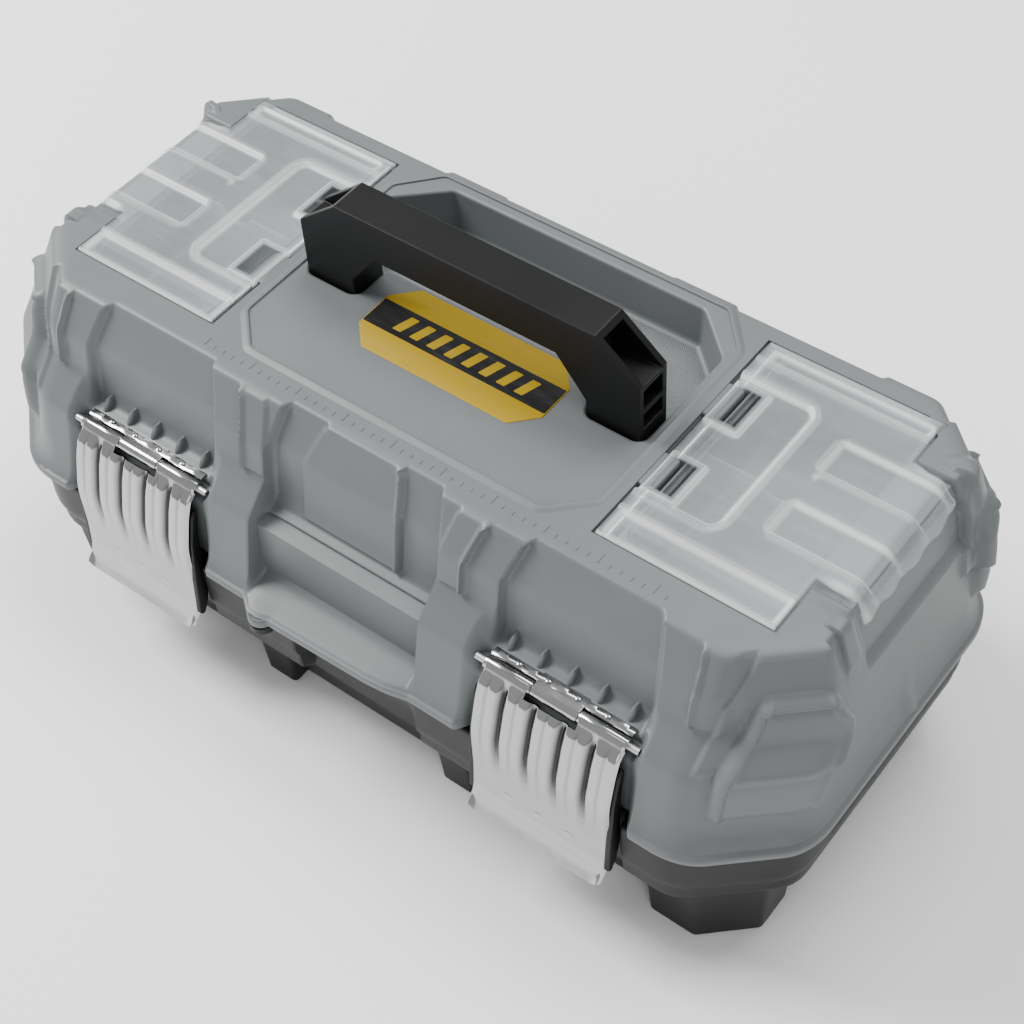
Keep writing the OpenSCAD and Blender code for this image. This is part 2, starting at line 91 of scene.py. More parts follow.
def soften(corners, arcs, s, w):
    """Closed outline with rounded corners: the point at arc length s is the mean of the sharp outline
    from s - w to s + w, taken from its running integral. corners is rows x corners x 2, w is one per row."""
    count = corners.shape[1]
    ring = np.concatenate([corners, corners[:, :1]], axis=1)
    span = np.diff(arcs)
    steps = (ring[:, :-1] + ring[:, 1:]) / 2 * span[None, :, None]
    summed = np.concatenate([np.zeros_like(steps[:, :1]), np.cumsum(steps, axis=1)], axis=1)
    rows = np.arange(len(corners))[:, None]

    def integral(t):
        turns = np.floor(t / arcs[-1])
        u = t - turns * arcs[-1]
        k = np.clip(np.searchsorted(arcs, u, side="right") - 1, 0, count - 1)
        tau = u - arcs[k]
        a, b = ring[rows, k], ring[rows, k + 1]
        part = a * tau[..., None] + (b - a) * (tau**2 / (2 * span[k]))[..., None]
        return summed[rows, k] + part + turns[..., None] * summed[:, -1][:, None]

    w = np.broadcast_to(np.asarray(w, float), (len(corners),))
    high, low = integral(s[None] + w[:, None]), integral(s[None] - w[:, None])
    return (high - low) / (2 * w[:, None, None])


def loop(corners, radius, inset=0.0, steps=5):
    """Closed outline, counterclockwise: each side is moved inwards by inset, and each corner becomes an
    arc, whose radius shrinks by the inset on an outer corner and grows by it on an inner one."""
    c = np.array(corners, float)
    d = np.roll(c, -1, axis=0) - c
    d /= np.linalg.norm(d, axis=1)[:, None]
    n = np.stack([-d[:, 1], d[:, 0]], axis=1)
    before = np.roll(n, 1, axis=0)
    mitre = (before + n) / (1 + np.sum(before * n, axis=1))[:, None]
    turn = np.roll(d, 1, axis=0)
    turn = turn[:, 0] * d[:, 1] - turn[:, 1] * d[:, 0]
    side = np.where(turn >= 0, 1.0, -1.0)
    r = np.maximum(radius - side * inset, 0.12)
    centre = c + mitre * inset + mitre * (side * r)[:, None]
    a0 = np.arctan2(before[:, 1], before[:, 0])
    a1 = a0 + (np.arctan2(n[:, 1], n[:, 0]) - a0 + math.pi) % (2 * math.pi) - math.pi
    t = np.linspace(0, 1, steps + 1)[None]
    a = a0[:, None] * (1 - t) + a1[:, None] * t
    arc = centre[:, None] - (side * r)[:, None, None] * np.stack([np.cos(a), np.sin(a)], axis=-1)
    return arc.reshape(-1, 2)


def at_z(points, z):
    """Outline points raised to height z."""
    p = np.asarray(points, float)
    return np.column_stack([p, np.broadcast_to(np.asarray(z, float), (len(p),))])


def grid(p, closed=False, flip=False):
    """Faces of a surface from its grid of points, rows x columns x 3. Columns that run counterclockwise
    and rows that run upwards face outwards; closed joins the last column to the first."""
    p = np.asarray(p, float)
    m, n = p.shape[:2]
    j = np.arange(n if closed else n - 1)
    i = np.arange(m - 1)[:, None]
    k = (j + 1) % n
    f = np.stack([i * n + j, i * n + k, (i + 1) * n + k, (i + 1) * n + j], axis=-1).reshape(-1, 4)
    return p.reshape(-1, 3), (f[:, ::-1] if flip else f).tolist()


def loft(rings, first=False, last=False, flip=False):
    """Surface through closed rings of equal length; first and last close its ends with one flat face."""
    p = np.stack([np.asarray(r, float) for r in rings])
    v, f = grid(p, closed=True, flip=flip)
    n, top = p.shape[1], (len(rings) - 1) * p.shape[1]
    if first:
        f.append(list(range(n)) if flip else list(range(n))[::-1])
    if last:
        f.append(list(range(top, top + n))[::-1] if flip else list(range(top, top + n)))
    return v, f


def inside(points, outline):
    """Which points lie in a closed outline, by counting the sides crossed on the way to +X."""
    x, y = points[:, 0][:, None], points[:, 1][:, None]
    a, b = np.asarray(outline), np.roll(np.asarray(outline), -1, axis=0)
    spans = (a[None, :, 1] > y) != (b[None, :, 1] > y)
    rise = np.where(b[:, 1] == a[:, 1], 1e-12, b[:, 1] - a[:, 1])
    cross = a[None, :, 0] + (y - a[None, :, 1]) * ((b[:, 0] - a[:, 0]) / rise)[None]
    return (np.sum(spans & (x < cross), axis=1) % 2) == 1


def plate(outline, holes, z, up=True):
    """Flat plate at height z inside the outline and outside the holes, in Delaunay triangles that keep
    every outline as edges."""
    rings = [np.asarray(outline, float)] + [np.asarray(h, float) for h in holes]
    starts = np.cumsum([0] + [len(r) for r in rings])
    edges = [
        (int(s + i), int(s + (i + 1) % len(r))) for s, r in zip(starts, rings) for i in range(len(r))
    ]
    flat = [Vector(p) for p in np.concatenate(rings).tolist()]
    co, _, tris, *_ = delaunay_2d_cdt(flat, edges, [], 0, 1e-5)
    co = np.array([tuple(c) for c in co])
    tris = np.array([t for t in tris if len(t) == 3])
    mid = co[tris].mean(axis=1)
    keep = inside(mid, rings[0])
    for h in rings[1:]:
        keep &= ~inside(mid, h)
    a, b, c = (co[tris[:, k]] for k in range(3))
    area = (b[:, 0] - a[:, 0]) * (c[:, 1] - a[:, 1]) - (b[:, 1] - a[:, 1]) * (c[:, 0] - a[:, 0])
    tris = np.where((area > 0)[:, None] == up, tris, tris[:, ::-1])[keep & (np.abs(area) > 1e-7)]
    return at_z(co, z), tris.tolist()


def normals_of(p, closed=False):
    """Unit normals of a grid of points, from the cross product of its column and row directions."""
    p = np.asarray(p, float)
    u = np.roll(p, -1, axis=1) - np.roll(p, 1, axis=1) if closed else np.gradient(p, axis=1)
    n = np.cross(u, np.gradient(p, axis=0))
    return n / np.maximum(np.linalg.norm(n, axis=2), 1e-12)[..., None]


def slab(p, thickness, flip=False):
    """Closed sheet: the grid, a copy moved back along its normals by the thickness, and a strip round
    the edge that joins the two."""
    p = np.asarray(p, float)
    m, n = p.shape[:2]
    back = p - normals_of(p) * thickness * (-1 if flip else 1)
    v0, f0 = grid(p, flip=flip)
    v1, f1 = grid(back, flip=not flip)
    edge = np.concatenate([
        np.arange(n - 1), np.arange(m - 1) * n + n - 1,
        (m - 1) * n + np.arange(n - 1, 0, -1), np.arange(m - 1, 0, -1) * n,
    ])
    nxt = np.roll(edge, -1)
    strip = np.stack([edge, edge + m * n, nxt + m * n, nxt], axis=-1)
    if flip:
        strip = strip[:, ::-1]
    return np.concatenate([v0, v1]), f0 + (np.array(f1) + m * n).tolist() + strip.tolist()


def block(outline, z0, z1, radius=2.0, edge=0.8, draft=0.0, steps=4):
    """Block with rounded upright corners and rounded top and bottom edges: quarter-round insets at
    both ends, and its sides drawn in by draft from z0 up to z1."""
    a = np.linspace(0, math.pi / 2, 4)
    low = [at_z(loop(outline, radius, edge * (1 - math.sin(t)), steps),
        z0 + edge * (1 - math.cos(t))) for t in a]
    high = [
        at_z(loop(outline, radius, draft + edge * (1 - math.sin(t)), steps), z1 - edge * (1 - math.cos(t)))
        for t in a[::-1]
    ]
    return loft(low + high, first=True, last=True)


def rectangle(x0, x1, y0, y1):
    """Corners of an upright rectangle, counterclockwise."""
    return [(x0, y0), (x1, y0), (x1, y1), (x0, y1)]


def tube(path, radius, sides=16, caps=True):
    """Round bar along straight or gently bent points: a ring of sides points at each, square to the path."""
    p = np.asarray(path, float)
    t = np.gradient(p, axis=0)
    t /= np.linalg.norm(t, axis=1)[:, None]
    ref = np.where(np.abs(t[:, 2:3]) > 0.9, [[1.0, 0, 0]], [[0, 0, 1.0]])
    u = np.cross(t, ref)
    u /= np.linalg.norm(u, axis=1)[:, None]
    v = np.cross(t, u)
    a = np.arange(sides) * 2 * math.pi / sides
    r = np.broadcast_to(np.asarray(radius, float), (len(p),))[:, None, None]
    rings = p[:, None] + r * (np.cos(a)[None, :, None] * u[:, None] + np.sin(a)[None, :, None] * v[:, None])
    return loft(list(rings), first=caps, last=caps)


def mirrored(part):
    """The same surface on the other side of the middle, with its faces turned to stay outwards."""
    v, f = part
    return np.asarray(v) * [-1, 1, 1], [q[::-1] for q in f]


def joined(parts):
    """Several surfaces as one list of points and one of faces."""
    vs, fs, n = [], [], 0
    for v, f in parts:
        vs.append(np.asarray(v, float))
        fs.extend([[i + n for i in q] for q in f])
        n += len(v)
    return np.concatenate(vs), fs


def piece(name, parts, material, body, angle=38, replaces=(), solid=0.0, seal=False, relief=None):
    """Makes one object from surfaces. Edges sharper than angle degrees stay crisp; solid is a wall
    thickness given inwards; seal merges points that meet and turns all faces outwards; relief is a
    number per point, kept as an attribute for the material."""
    v, f = joined(parts)
    mesh = bpy.data.meshes.new(name)
    mesh.from_pydata((v * 0.001).tolist(), [], f)
    if relief is not None:
        mesh.attributes.new("relief", "FLOAT", "POINT").data.foreach_set("value",
            np.asarray(relief, np.float32))
    if seal:
        bm = bmesh.new()
        bm.from_mesh(mesh)
        bmesh.ops.remove_doubles(bm, verts=bm.verts, dist=1e-6)
        bmesh.ops.recalc_face_normals(bm, faces=bm.faces)
        bm.to_mesh(mesh)
        bm.free()
    mesh.update()
    mesh.shade_smooth()
    mesh.set_sharp_from_angle(angle=math.radians(angle))
    mesh.materials.append(material)
    obj = bpy.data.objects.new(name, mesh)
    bpy.context.scene.collection.objects.link(obj)
    if solid:
        wall = obj.modifiers.new("wall", "SOLIDIFY")
        wall.thickness = solid * 0.001
        wall.offset = -1
    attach(obj, body)
    if replaces:
        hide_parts(*replaces)
    return obj


def rounded_copy(node, body, material, width, segments=2, angle=35):
    """A CAD node's shape with its corners joined, flat areas made whole and its edges rounded to width."""
    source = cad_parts[node]
    mesh = source.data.copy()
    mesh.name = node + "_rounded"
    bm = bmesh.new()
    bm.from_mesh(mesh)
    bmesh.ops.remove_doubles(bm, verts=bm.verts, dist=2e-6)
    bmesh.ops.dissolve_limit(bm, angle_limit=math.radians(1), verts=bm.verts, edges=bm.edges)
    bm.to_mesh(mesh)
    bm.free()
    mesh.materials.clear()
    mesh.materials.append(material)
    mesh.shade_smooth()
    mesh.set_sharp_from_angle(angle=math.radians(angle))
    obj = bpy.data.objects.new(node + "_rounded", mesh)
    bpy.context.scene.collection.objects.link(obj)
    edge = obj.modifiers.new("edge", "BEVEL")
    edge.width = width * 0.001
    edge.segments = segments
    edge.limit_method = "ANGLE"
    edge.angle_limit = math.radians(angle)
    edge.harden_normals = True
    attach(obj, body)
    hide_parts(node)
    return obj


# ---- materials ----


def make_group(name, inputs, outputs):
    """Empty shader group with named number inputs and outputs, and its two end nodes."""
    g = bpy.data.node_groups.new(name, "ShaderNodeTree")
    for label, value in inputs:
        s = g.interface.new_socket(name=label, in_out="INPUT", socket_type="NodeSocketFloat")
        s.default_value = value
    for label in outputs:
        g.interface.new_socket(name=label, in_out="OUTPUT", socket_type="NodeSocketFloat")
    return g, g.nodes.new("NodeGroupInput"), g.nodes.new("NodeGroupOutput")


def math_node(tree, kind, a, b=None, c=None, clamp=False):
    """A Math node whose inputs are sockets or numbers."""
    node = tree.nodes.new("ShaderNodeMath")
    node.operation = kind
    node.use_clamp = clamp
    for i, value in enumerate((a, b, c)):
        if value is None:
            continue
        if isinstance(value, (int, float)):
            node.inputs[i].default_value = value
        else:
            tree.links.new(value, node.inputs[i])
    return node.outputs[0]


def noise(tree, vector, scale, detail=3.0, rough=0.5):
    """A noise texture on the given coordinates; scale is a number or a socket."""
    node = tree.nodes.new("ShaderNodeTexNoise")
    node.inputs["Detail"].default_value = detail
    node.inputs["Roughness"].default_value = rough
    tree.links.new(vector, node.inputs["Vector"])
    if isinstance(scale, (int, float)):
        node.inputs["Scale"].default_value = scale
    else:
        tree.links.new(scale, node.inputs["Scale"])
    return node.outputs["Fac"]


def moulded_grain():
    """Fine spark-eroded grain of a moulding tool, with slow flow marks: Height for a bump, Cloud for tone."""
    g, inp, out = make_group("moulded_grain", [("Grain per metre", 1500.0), ("Flow", 0.3)],
        ["Height", "Cloud"])
    co = g.nodes.new("ShaderNodeTexCoord").outputs["Object"]
    fine = noise(g, co, inp.outputs["Grain per metre"], 2.0, 0.6)
    slow = noise(g, co, 22.0, 3.0, 0.55)
    g.links.new(math_node(g, "ADD", fine, math_node(g, "MULTIPLY", slow, inp.outputs["Flow"])),
        out.inputs["Height"])
    g.links.new(slow, out.inputs["Cloud"])
    return g


def rub_marks():
    """Rubbed and dusty patches: Dust where slow noise is high and the face looks up, Rub as thin streaks."""
    g, inp, out = make_group("rub_marks", [("Dust", 0.3), ("Rub", 0.3)], ["Dust mask", "Rub mask"])
    co = g.nodes.new("ShaderNodeTexCoord").outputs["Object"]
    nz = g.nodes.new("ShaderNodeSeparateXYZ")
    g.links.new(g.nodes.new("ShaderNodeNewGeometry").outputs["Normal"], nz.inputs[0])
    up = math_node(g, "MULTIPLY_ADD", nz.outputs["Z"], 0.5, 0.5, clamp=True)
    patch = math_node(g, "MULTIPLY", math_node(g, "POWER", noise(g, co, 35.0, 5.0, 0.65), 2.0), up)
    g.links.new(math_node(g, "MULTIPLY", patch, inp.outputs["Dust"], clamp=True), out.inputs["Dust mask"])
    stretch = g.nodes.new("ShaderNodeMapping")
    stretch.inputs["Scale"].default_value = (40.0, 260.0, 120.0)
    stretch.inputs["Rotation"].default_value = (0.2, 0.4, 0.5)
    g.links.new(co, stretch.inputs["Vector"])
    streak = math_node(g, "POWER", noise(g, stretch.outputs[0], 1.0, 4.0, 0.7), 6.0)
    g.links.new(math_node(g, "MULTIPLY", streak, inp.outputs["Rub"], clamp=True), out.inputs["Rub mask"])
    return g


GRAIN, RUB = moulded_grain(), rub_marks()


def add_group(tree, group, values):
    """A node that uses the group, with its inputs set."""
    node = tree.nodes.new("ShaderNodeGroup")
    node.node_tree = group
    for label, value in values.items():
        node.inputs[label].default_value = value
    return node


def blend_colour(tree, mask, a, b):
    """Mixes two colours by a mask; each is a socket or a colour."""
    mix = tree.nodes.new("ShaderNodeMix")
    mix.data_type = "RGBA"
    tree.links.new(mask, mix.inputs[0])
    for socket, value in ((mix.inputs[6], a), (mix.inputs[7], b)):
        if isinstance(value, tuple):
            socket.default_value = (*value, 1.0)
        else:
            tree.links.new(value, socket)
    return mix.outputs[2]


def moulded_plastic(name, colour, light, rough, grain=1500.0, depth=0.02, dust=0.3, rub=0.3,
    dust_colour=(0.4, 0.39, 0.37)):
    """Moulded plastic: its colour drifts slowly to the light one, with fine grain in the bump, dust and
    rub marks."""
    mat = bpy.data.materials.new(name)
    mat.use_nodes = True
    t = mat.node_tree
    shader = t.nodes["Principled BSDF"]
    g = add_group(t, GRAIN, {"Grain per metre": grain, "Flow": 0.3})
    m = add_group(t, RUB, {"Dust": dust, "Rub": rub})
    base = blend_colour(t, g.outputs["Cloud"], colour, light)
    base = blend_colour(t, m.outputs["Dust mask"], base, dust_colour)
    base = blend_colour(t, m.outputs["Rub mask"], base, tuple(min(1.0, c * 1.5 + 0.03) for c in light))
    t.links.new(base, shader.inputs["Base Color"])
    r = math_node(t, "MULTIPLY_ADD", g.outputs["Cloud"], 0.16, rough - 0.08)
    r = math_node(t, "ADD", r, math_node(t, "MULTIPLY", m.outputs["Rub mask"], 0.15), clamp=True)
    t.links.new(r, shader.inputs["Roughness"])
    bump = t.nodes.new("ShaderNodeBump")
    bump.inputs["Strength"].default_value = 0.35
    bump.inputs["Distance"].default_value = depth * 0.001
    t.links.new(g.outputs["Height"], bump.inputs["Height"])
    t.links.new(bump.outputs[0], shader.inputs["Normal"])
    return mat


def pit_mesh_plastic(name, colour, light):
    """The lid's plastic with a pressed net of small squares, 1.1 mm apart, for the pit's floor."""
    mat = moulded_plastic(name, colour, light, 0.5, dust=0.25)
    t = mat.node_tree
    co = t.nodes.new("ShaderNodeTexCoord").outputs["Object"]
    xyz = t.nodes.new("ShaderNodeSeparateXYZ")
    t.links.new(co, xyz.inputs[0])
    waves = [math_node(t, "SINE", math_node(t, "MULTIPLY", xyz.outputs[k], 5712.0)) for k in ("X", "Y")]
    net = math_node(t, "MAXIMUM", *waves)
    bump = t.nodes.new("ShaderNodeBump")
    bump.inputs["Strength"].default_value = 0.6
    bump.inputs["Distance"].default_value = 0.00025
    t.links.new(net, bump.inputs["Height"])
    t.links.new(bump.outputs[0], t.nodes["Principled BSDF"].inputs["Normal"])
    return mat


def chromed_steel(name, colour, rough, brushed=0.0):
    """Bright plated steel: fine waviness of pressed sheet, faint smears in the roughness, brushed
    lines across the sheet where brushed is above 0, and a painted dark reflection, near black in the base
    colour, where the relief attribute is high."""
    mat = bpy.data.materials.new(name)
    mat.use_nodes = True
    t = mat.node_tree
    shader = t.nodes["Principled BSDF"]
    shader.inputs["Metallic"].default_value = 1.0
    co = t.nodes.new("ShaderNodeTexCoord").outputs["Object"]
    smear = noise(t, co, 60.0, 4.0, 0.6)
    lines = t.nodes.new("ShaderNodeMapping")
    lines.inputs["Scale"].default_value = (1800.0, 60.0, 60.0)
    t.links.new(co, lines.inputs["Vector"])
    brush = noise(t, lines.outputs[0], 1.0, 2.0, 0.5)
    plate_colour = blend_colour(t, smear, colour, tuple(min(1.0, c * 1.12) for c in colour))
    # Painted dark reflection: the base colour goes to near black where the relief attribute is high, in the
    # latch cover's flutes and creases.
    relief = t.nodes.new("ShaderNodeAttribute")
    relief.attribute_name = "relief"
    t.links.new(blend_colour(t, relief.outputs["Fac"], plate_colour, (0.035, 0.035, 0.037)),
        shader.inputs["Base Color"])
    r = math_node(t, "MULTIPLY_ADD", smear, 0.12, rough - 0.03)
    t.links.new(math_node(t, "MULTIPLY_ADD", brush, brushed, r, clamp=True), shader.inputs["Roughness"])
    bump = t.nodes.new("ShaderNodeBump")
    bump.inputs["Strength"].default_value = 0.25
    bump.inputs["Distance"].default_value = 0.0003
    t.links.new(noise(t, co, 90.0, 2.0, 0.5), bump.inputs["Height"])
    t.links.new(bump.outputs[0], shader.inputs["Normal"])
    return mat


def milky_plastic(name, colour, alpha, rough):
    """Clear polypropylene, slightly milky: see-through by its alpha, whiter and denser
    where it is scuffed and along the moulded lines that the relief attribute marks; the whiter colour on
    those lines is partly denser milky plastic and partly a painted highlight."""
    mat = bpy.data.materials.new(name)
    mat.use_nodes = True
    t = mat.node_tree
    shader = t.nodes["Principled BSDF"]
    g = add_group(t, GRAIN, {"Grain per metre": 900.0, "Flow": 0.6})
    m = add_group(t, RUB, {"Dust": 0.5, "Rub": 0.8})
    base = blend_colour(t, m.outputs["Rub mask"], colour, (0.95, 0.95, 0.95))
    # Whiter where the relief attribute is high: partly denser milky plastic, partly a painted highlight on
    # the moulded lines.
    relief = t.nodes.new("ShaderNodeAttribute")
    relief.attribute_name = "relief"
    base = blend_colour(t, relief.outputs["Fac"], base, (0.97, 0.98, 0.99))
    t.links.new(base, shader.inputs["Base Color"])
    see = math_node(t, "MULTIPLY_ADD", g.outputs["Cloud"], 0.12, alpha - 0.06)
    see = math_node(t, "MULTIPLY_ADD", relief.outputs["Fac"], 0.32, see)
    t.links.new(math_node(t, "MULTIPLY_ADD", m.outputs["Rub mask"], 0.3, see, clamp=True),
        shader.inputs["Alpha"])
    t.links.new(math_node(t, "MULTIPLY_ADD", g.outputs["Cloud"], 0.15, rough - 0.07),
        shader.inputs["Roughness"])
    shader.inputs["IOR"].default_value = 1.49
    bump = t.nodes.new("ShaderNodeBump")
    bump.inputs["Strength"].default_value = 0.2
    bump.inputs["Distance"].default_value = 0.0002
    t.links.new(g.outputs["Height"], bump.inputs["Height"])
    t.links.new(bump.outputs[0], shader.inputs["Normal"])
    return mat


def printed_film(name, colour, rough):
    """Printed film of the label: even ink with faint mottling and small scratches."""
    mat = bpy.data.materials.new(name)
    mat.use_nodes = True
    t = mat.node_tree
    shader = t.nodes["Principled BSDF"]
    g = add_group(t, GRAIN, {"Grain per metre": 700.0, "Flow": 0.2})
    m = add_group(t, RUB, {"Dust": 0.15, "Rub": 0.5})
    base = blend_colour(t, g.outputs["Cloud"], tuple(c * 0.88 for c in colour), colour)
    base = blend_colour(t, m.outputs["Rub mask"], base, (0.5, 0.48, 0.42))
    t.links.new(base, shader.inputs["Base Color"])
    t.links.new(math_node(t, "MULTIPLY_ADD", m.outputs["Rub mask"], 0.4, rough, clamp=True),
        shader.inputs["Roughness"])
    bump = t.nodes.new("ShaderNodeBump")
    bump.inputs["Strength"].default_value = 0.15
    bump.inputs["Distance"].default_value = 0.0001
    t.links.new(g.outputs["Height"], bump.inputs["Height"])
    t.links.new(bump.outputs[0], shader.inputs["Normal"])
    return mat


GREY = moulded_plastic("grey_lid_plastic", (0.098, 0.108, 0.111), (0.12, 0.131, 0.134), 0.46, dust=0.06)
NET = pit_mesh_plastic("grey_net_plastic", (0.098, 0.108, 0.111), (0.12, 0.131, 0.134))
BLACK = moulded_plastic("black_base_plastic", (0.003, 0.003, 0.0035), (0.006, 0.006, 0.007), 0.42,
    dust=0.015, rub=0.04, dust_colour=(0.2, 0.19, 0.18))
GRIP = moulded_plastic("black_grip_plastic", (0.003, 0.003, 0.0035), (0.006, 0.006, 0.007), 0.42,
    grain=2200.0, depth=0.04, dust=0.01, rub=0.05, dust_colour=(0.2, 0.19, 0.18))
DIVIDER = moulded_plastic("divider_plastic", (0.22, 0.235, 0.24), (0.3, 0.31, 0.32), 0.45)
CLEAR = milky_plastic("milky_cover_plastic", (0.6, 0.64, 0.66), 0.16, 0.28)
CHROME = chromed_steel("chromed_latch_steel", (0.4, 0.4, 0.41), 0.1)
PIN = chromed_steel("brushed_pin_steel", (0.55, 0.55, 0.56), 0.28, 0.15)
YELLOW = printed_film("yellow_label_film", (0.36, 0.235, 0.0), 0.5)
INK = printed_film("black_label_film", (0.014, 0.014, 0.015), 0.3)
for dark_plastic in (BLACK, GRIP, INK):
    dark_plastic.node_tree.nodes["Principled BSDF"].inputs["Specular IOR Level"].default_value = 0.22
YELLOW.node_tree.nodes["Principled BSDF"].inputs["Specular IOR Level"].default_value = 0.2


# ---- camera, floor and lights ----


def make_camera(place, target, roll, lens):
    """Camera at place that looks at target, turned by roll about its own line of sight."""
    eye, aim = Vector(place) * 0.001, Vector(target) * 0.001
    ahead = (aim - eye).normalized()
    right = ahead.cross(Vector((0, 0, 1))).normalized()
    up = right.cross(ahead)
    c, s = math.cos(math.radians(roll)), math.sin(math.radians(roll))
    x, y = right * c + up * s, up * c - right * s
    data = bpy.data.cameras.new("camera")
    data.lens, data.sensor_width = lens, 36.0
    data.clip_start, data.clip_end = 0.05, 50.0
    cam = bpy.data.objects.new("camera", data)
    bpy.context.scene.collection.objects.link(cam)
    cam.rotation_mode = "QUATERNION"
    rows = [[x[k], y[k], -ahead[k]] for k in range(3)]
    cam.rotation_quaternion = Matrix(rows).to_quaternion()
    cam.location = eye
    bpy.context.scene.camera = cam


def area_light(name, place, target, size, power, colour=(1, 1, 1)):
    """Soft square lamp at place, facing target, in metres and watts."""
    data = bpy.data.lights.new(name, "AREA")
    data.shape, data.size, data.size_y = "RECTANGLE", size[0], size[1]
    data.energy, data.color = power, colour
    lamp = bpy.data.objects.new(name, data)
    bpy.context.scene.collection.objects.link(lamp)
    lamp.location = place
    lamp.rotation_mode = "QUATERNION"
    lamp.rotation_quaternion = (Vector(target) - Vector(place)).to_track_quat("-Z", "Y")


def make_stage():
    """Pale floor, an even pale surround, and soft lamps above, to the left and behind."""
    s = 6.0
    mesh = bpy.data.meshes.new("floor")
    mesh.from_pydata([(-s, -s, 0), (s, -s, 0), (s, s, 0), (-s, s, 0)], [], [(0, 1, 2, 3)])
    mat = bpy.data.materials.new("pale_floor")
    mat.use_nodes = True
    shader = mat.node_tree.nodes["Principled BSDF"]
    shader.inputs["Base Color"].default_value = (0.92, 0.92, 0.92, 1)
    shader.inputs["Roughness"].default_value = 0.75
    mesh.materials.append(mat)
    floor = bpy.data.objects.new("floor", mesh)
    bpy.context.scene.collection.objects.link(floor)
    world = bpy.data.worlds.new("studio")
    world.use_nodes = True
    world.node_tree.nodes["Background"].inputs[0].default_value = (1, 1, 1, 1)
    world.node_tree.nodes["Background"].inputs[1].default_value = 0.6
    bpy.context.scene.world = world
    area_light("key", (-1.5, -0.3, 1.6), (0, 0, 0.1), (0.9, 0.9), 75)
    area_light("top", (0.2, 0.8, 2.0), (0, 0, 0.1), (1.4, 0.8), 34)
    area_light("fill", (1.6, -1.2, 0.9), (0.05, 0, 0.1), (0.7, 0.7), 8)


make_camera((383.2, -421.7, 738.4), (39.3, -23.5, 115.5), -4.43, 69.49)
make_stage()


# ---- lid ----

# Levels of the lid's wall, from the rim's lower edge up to the flat top: height above the seam, distance
# of the front, half length, distance of the back, and how much the corners are cut along X and along Y.
LID_LEVELS = np.array([
    (0.3, 100.6, 212.2, 100.6, 38, 35), (0.5, 101.9, 213.5, 101.9, 38, 35),
    (1.0, 103.0, 214.6, 103.0, 38, 35),
    (1.8, 103.4, 215.0, 103.4, 38, 35), (4.2, 103.4, 215.0, 103.4, 38, 35),
    (5.0, 103.0, 214.6, 103.0, 38, 35),
    (5.6, 101.7, 213.4, 101.7, 38, 35), (6.6, 101.2, 212.8, 101.2, 38, 35),
    (8.6, 99.9, 211.4, 99.9, 38, 35),
    (14, 98.0, 209.6, 98.6, 38, 35), (26, 95.4, 208.3, 97.7, 37, 34), (40, 92.5, 207.1, 96.8, 36, 33),
    (43.5, 91.2, 206.8, 96.5, 36, 33), (56, 78.9, 205.4, 95.4, 35, 32), (59, 77.3, 205.1, 95.1, 34.5, 31.5),
    (71, 75.3, 203.2, 93.7, 33, 30), (74.5, 73.7, 202.3, 92.6, 31, 28.5), (88.3, 66.0, 197.3, 87.8, 27, 25),
    (90.2, 64.4, 195.6, 86.2, 26, 24), (90.6, 62.4, 193.6, 84.4, 25, 23.5),
    (90.6, 60.2, 190.8, 82.2, 25, 23.5),
])
LID_STEPS = [1, 1, 1, 2, 1, 1, 2, 2, 3, 4, 5, 4, 8, 4, 7, 5, 15, 4, 3, 2]
# At the same levels, height and distance of the latch bays' wall and of the middle bay's wall
LATCH_BAY = np.array([
    (0.3, 92.4), (0.5, 92.6), (1.0, 92.7), (1.8, 92.7), (4.2, 92.7), (5.0, 92.6), (5.6, 92.6), (6.6, 92.5),
    (8.6, 92.5),
    (14, 92.3), (26, 91.9), (34.6, 91.3), (35.4, 84.8), (42.2, 84.4), (43.4, 75.6), (69.5, 72.2),
    (73.0, 70.9),
    (87.8, 62.6), (90.1, 61.0), (90.6, 59.6), (90.6, 57.4),
])
MIDDLE_BAY = np.array([
    (0.3, 100.6), (0.5, 101.9), (1.0, 103.0), (1.8, 103.4), (4.2, 103.4), (5.0, 103.0), (5.4, 101.7),
    (6.0, 101.2),
    (7.0, 99.0), (9.6, 91.0), (18.5, 83.6), (38.6, 80.6), (41.4, 82.2), (42.6, 78.0), (45.6, 75.2),
    (70, 71.4),
    (73.6, 70.2), (88.0, 62.0), (90.1, 60.8), (90.6, 59.4), (90.6, 57.4),
])
ROUNDING = [11, 11, 11, 11, 11, 11, 11, 11, 11, 10, 8, 7, 7, 6, 5.5, 5, 5, 4.5, 4.5, 4, 4]


def outline_corners(x, f, b, cx, cy):
    """Turning points of the octagonal outline at each level, counterclockwise from the front's left end,
    with extra ones on the straight runs that keep them in line from level to level."""
    pts = [
        (cx - x, -f), (-150 + 0 * x, -f), (150 + 0 * x, -f), (x - cx, -f), (x, cy - f), (x, -33 + 0 * x),
        (x, 57 + 0 * x), (x, b - cy), (x - cx, b), (150 + 0 * x, b), (-150 + 0 * x, b), (cx - x, b),
        (-x, b - cy), (-x, 57 + 0 * x), (-x, -33 + 0 * x), (-x, cy - f),
    ]
    return np.stack([np.stack(p, axis=-1) for p in pts], axis=1)


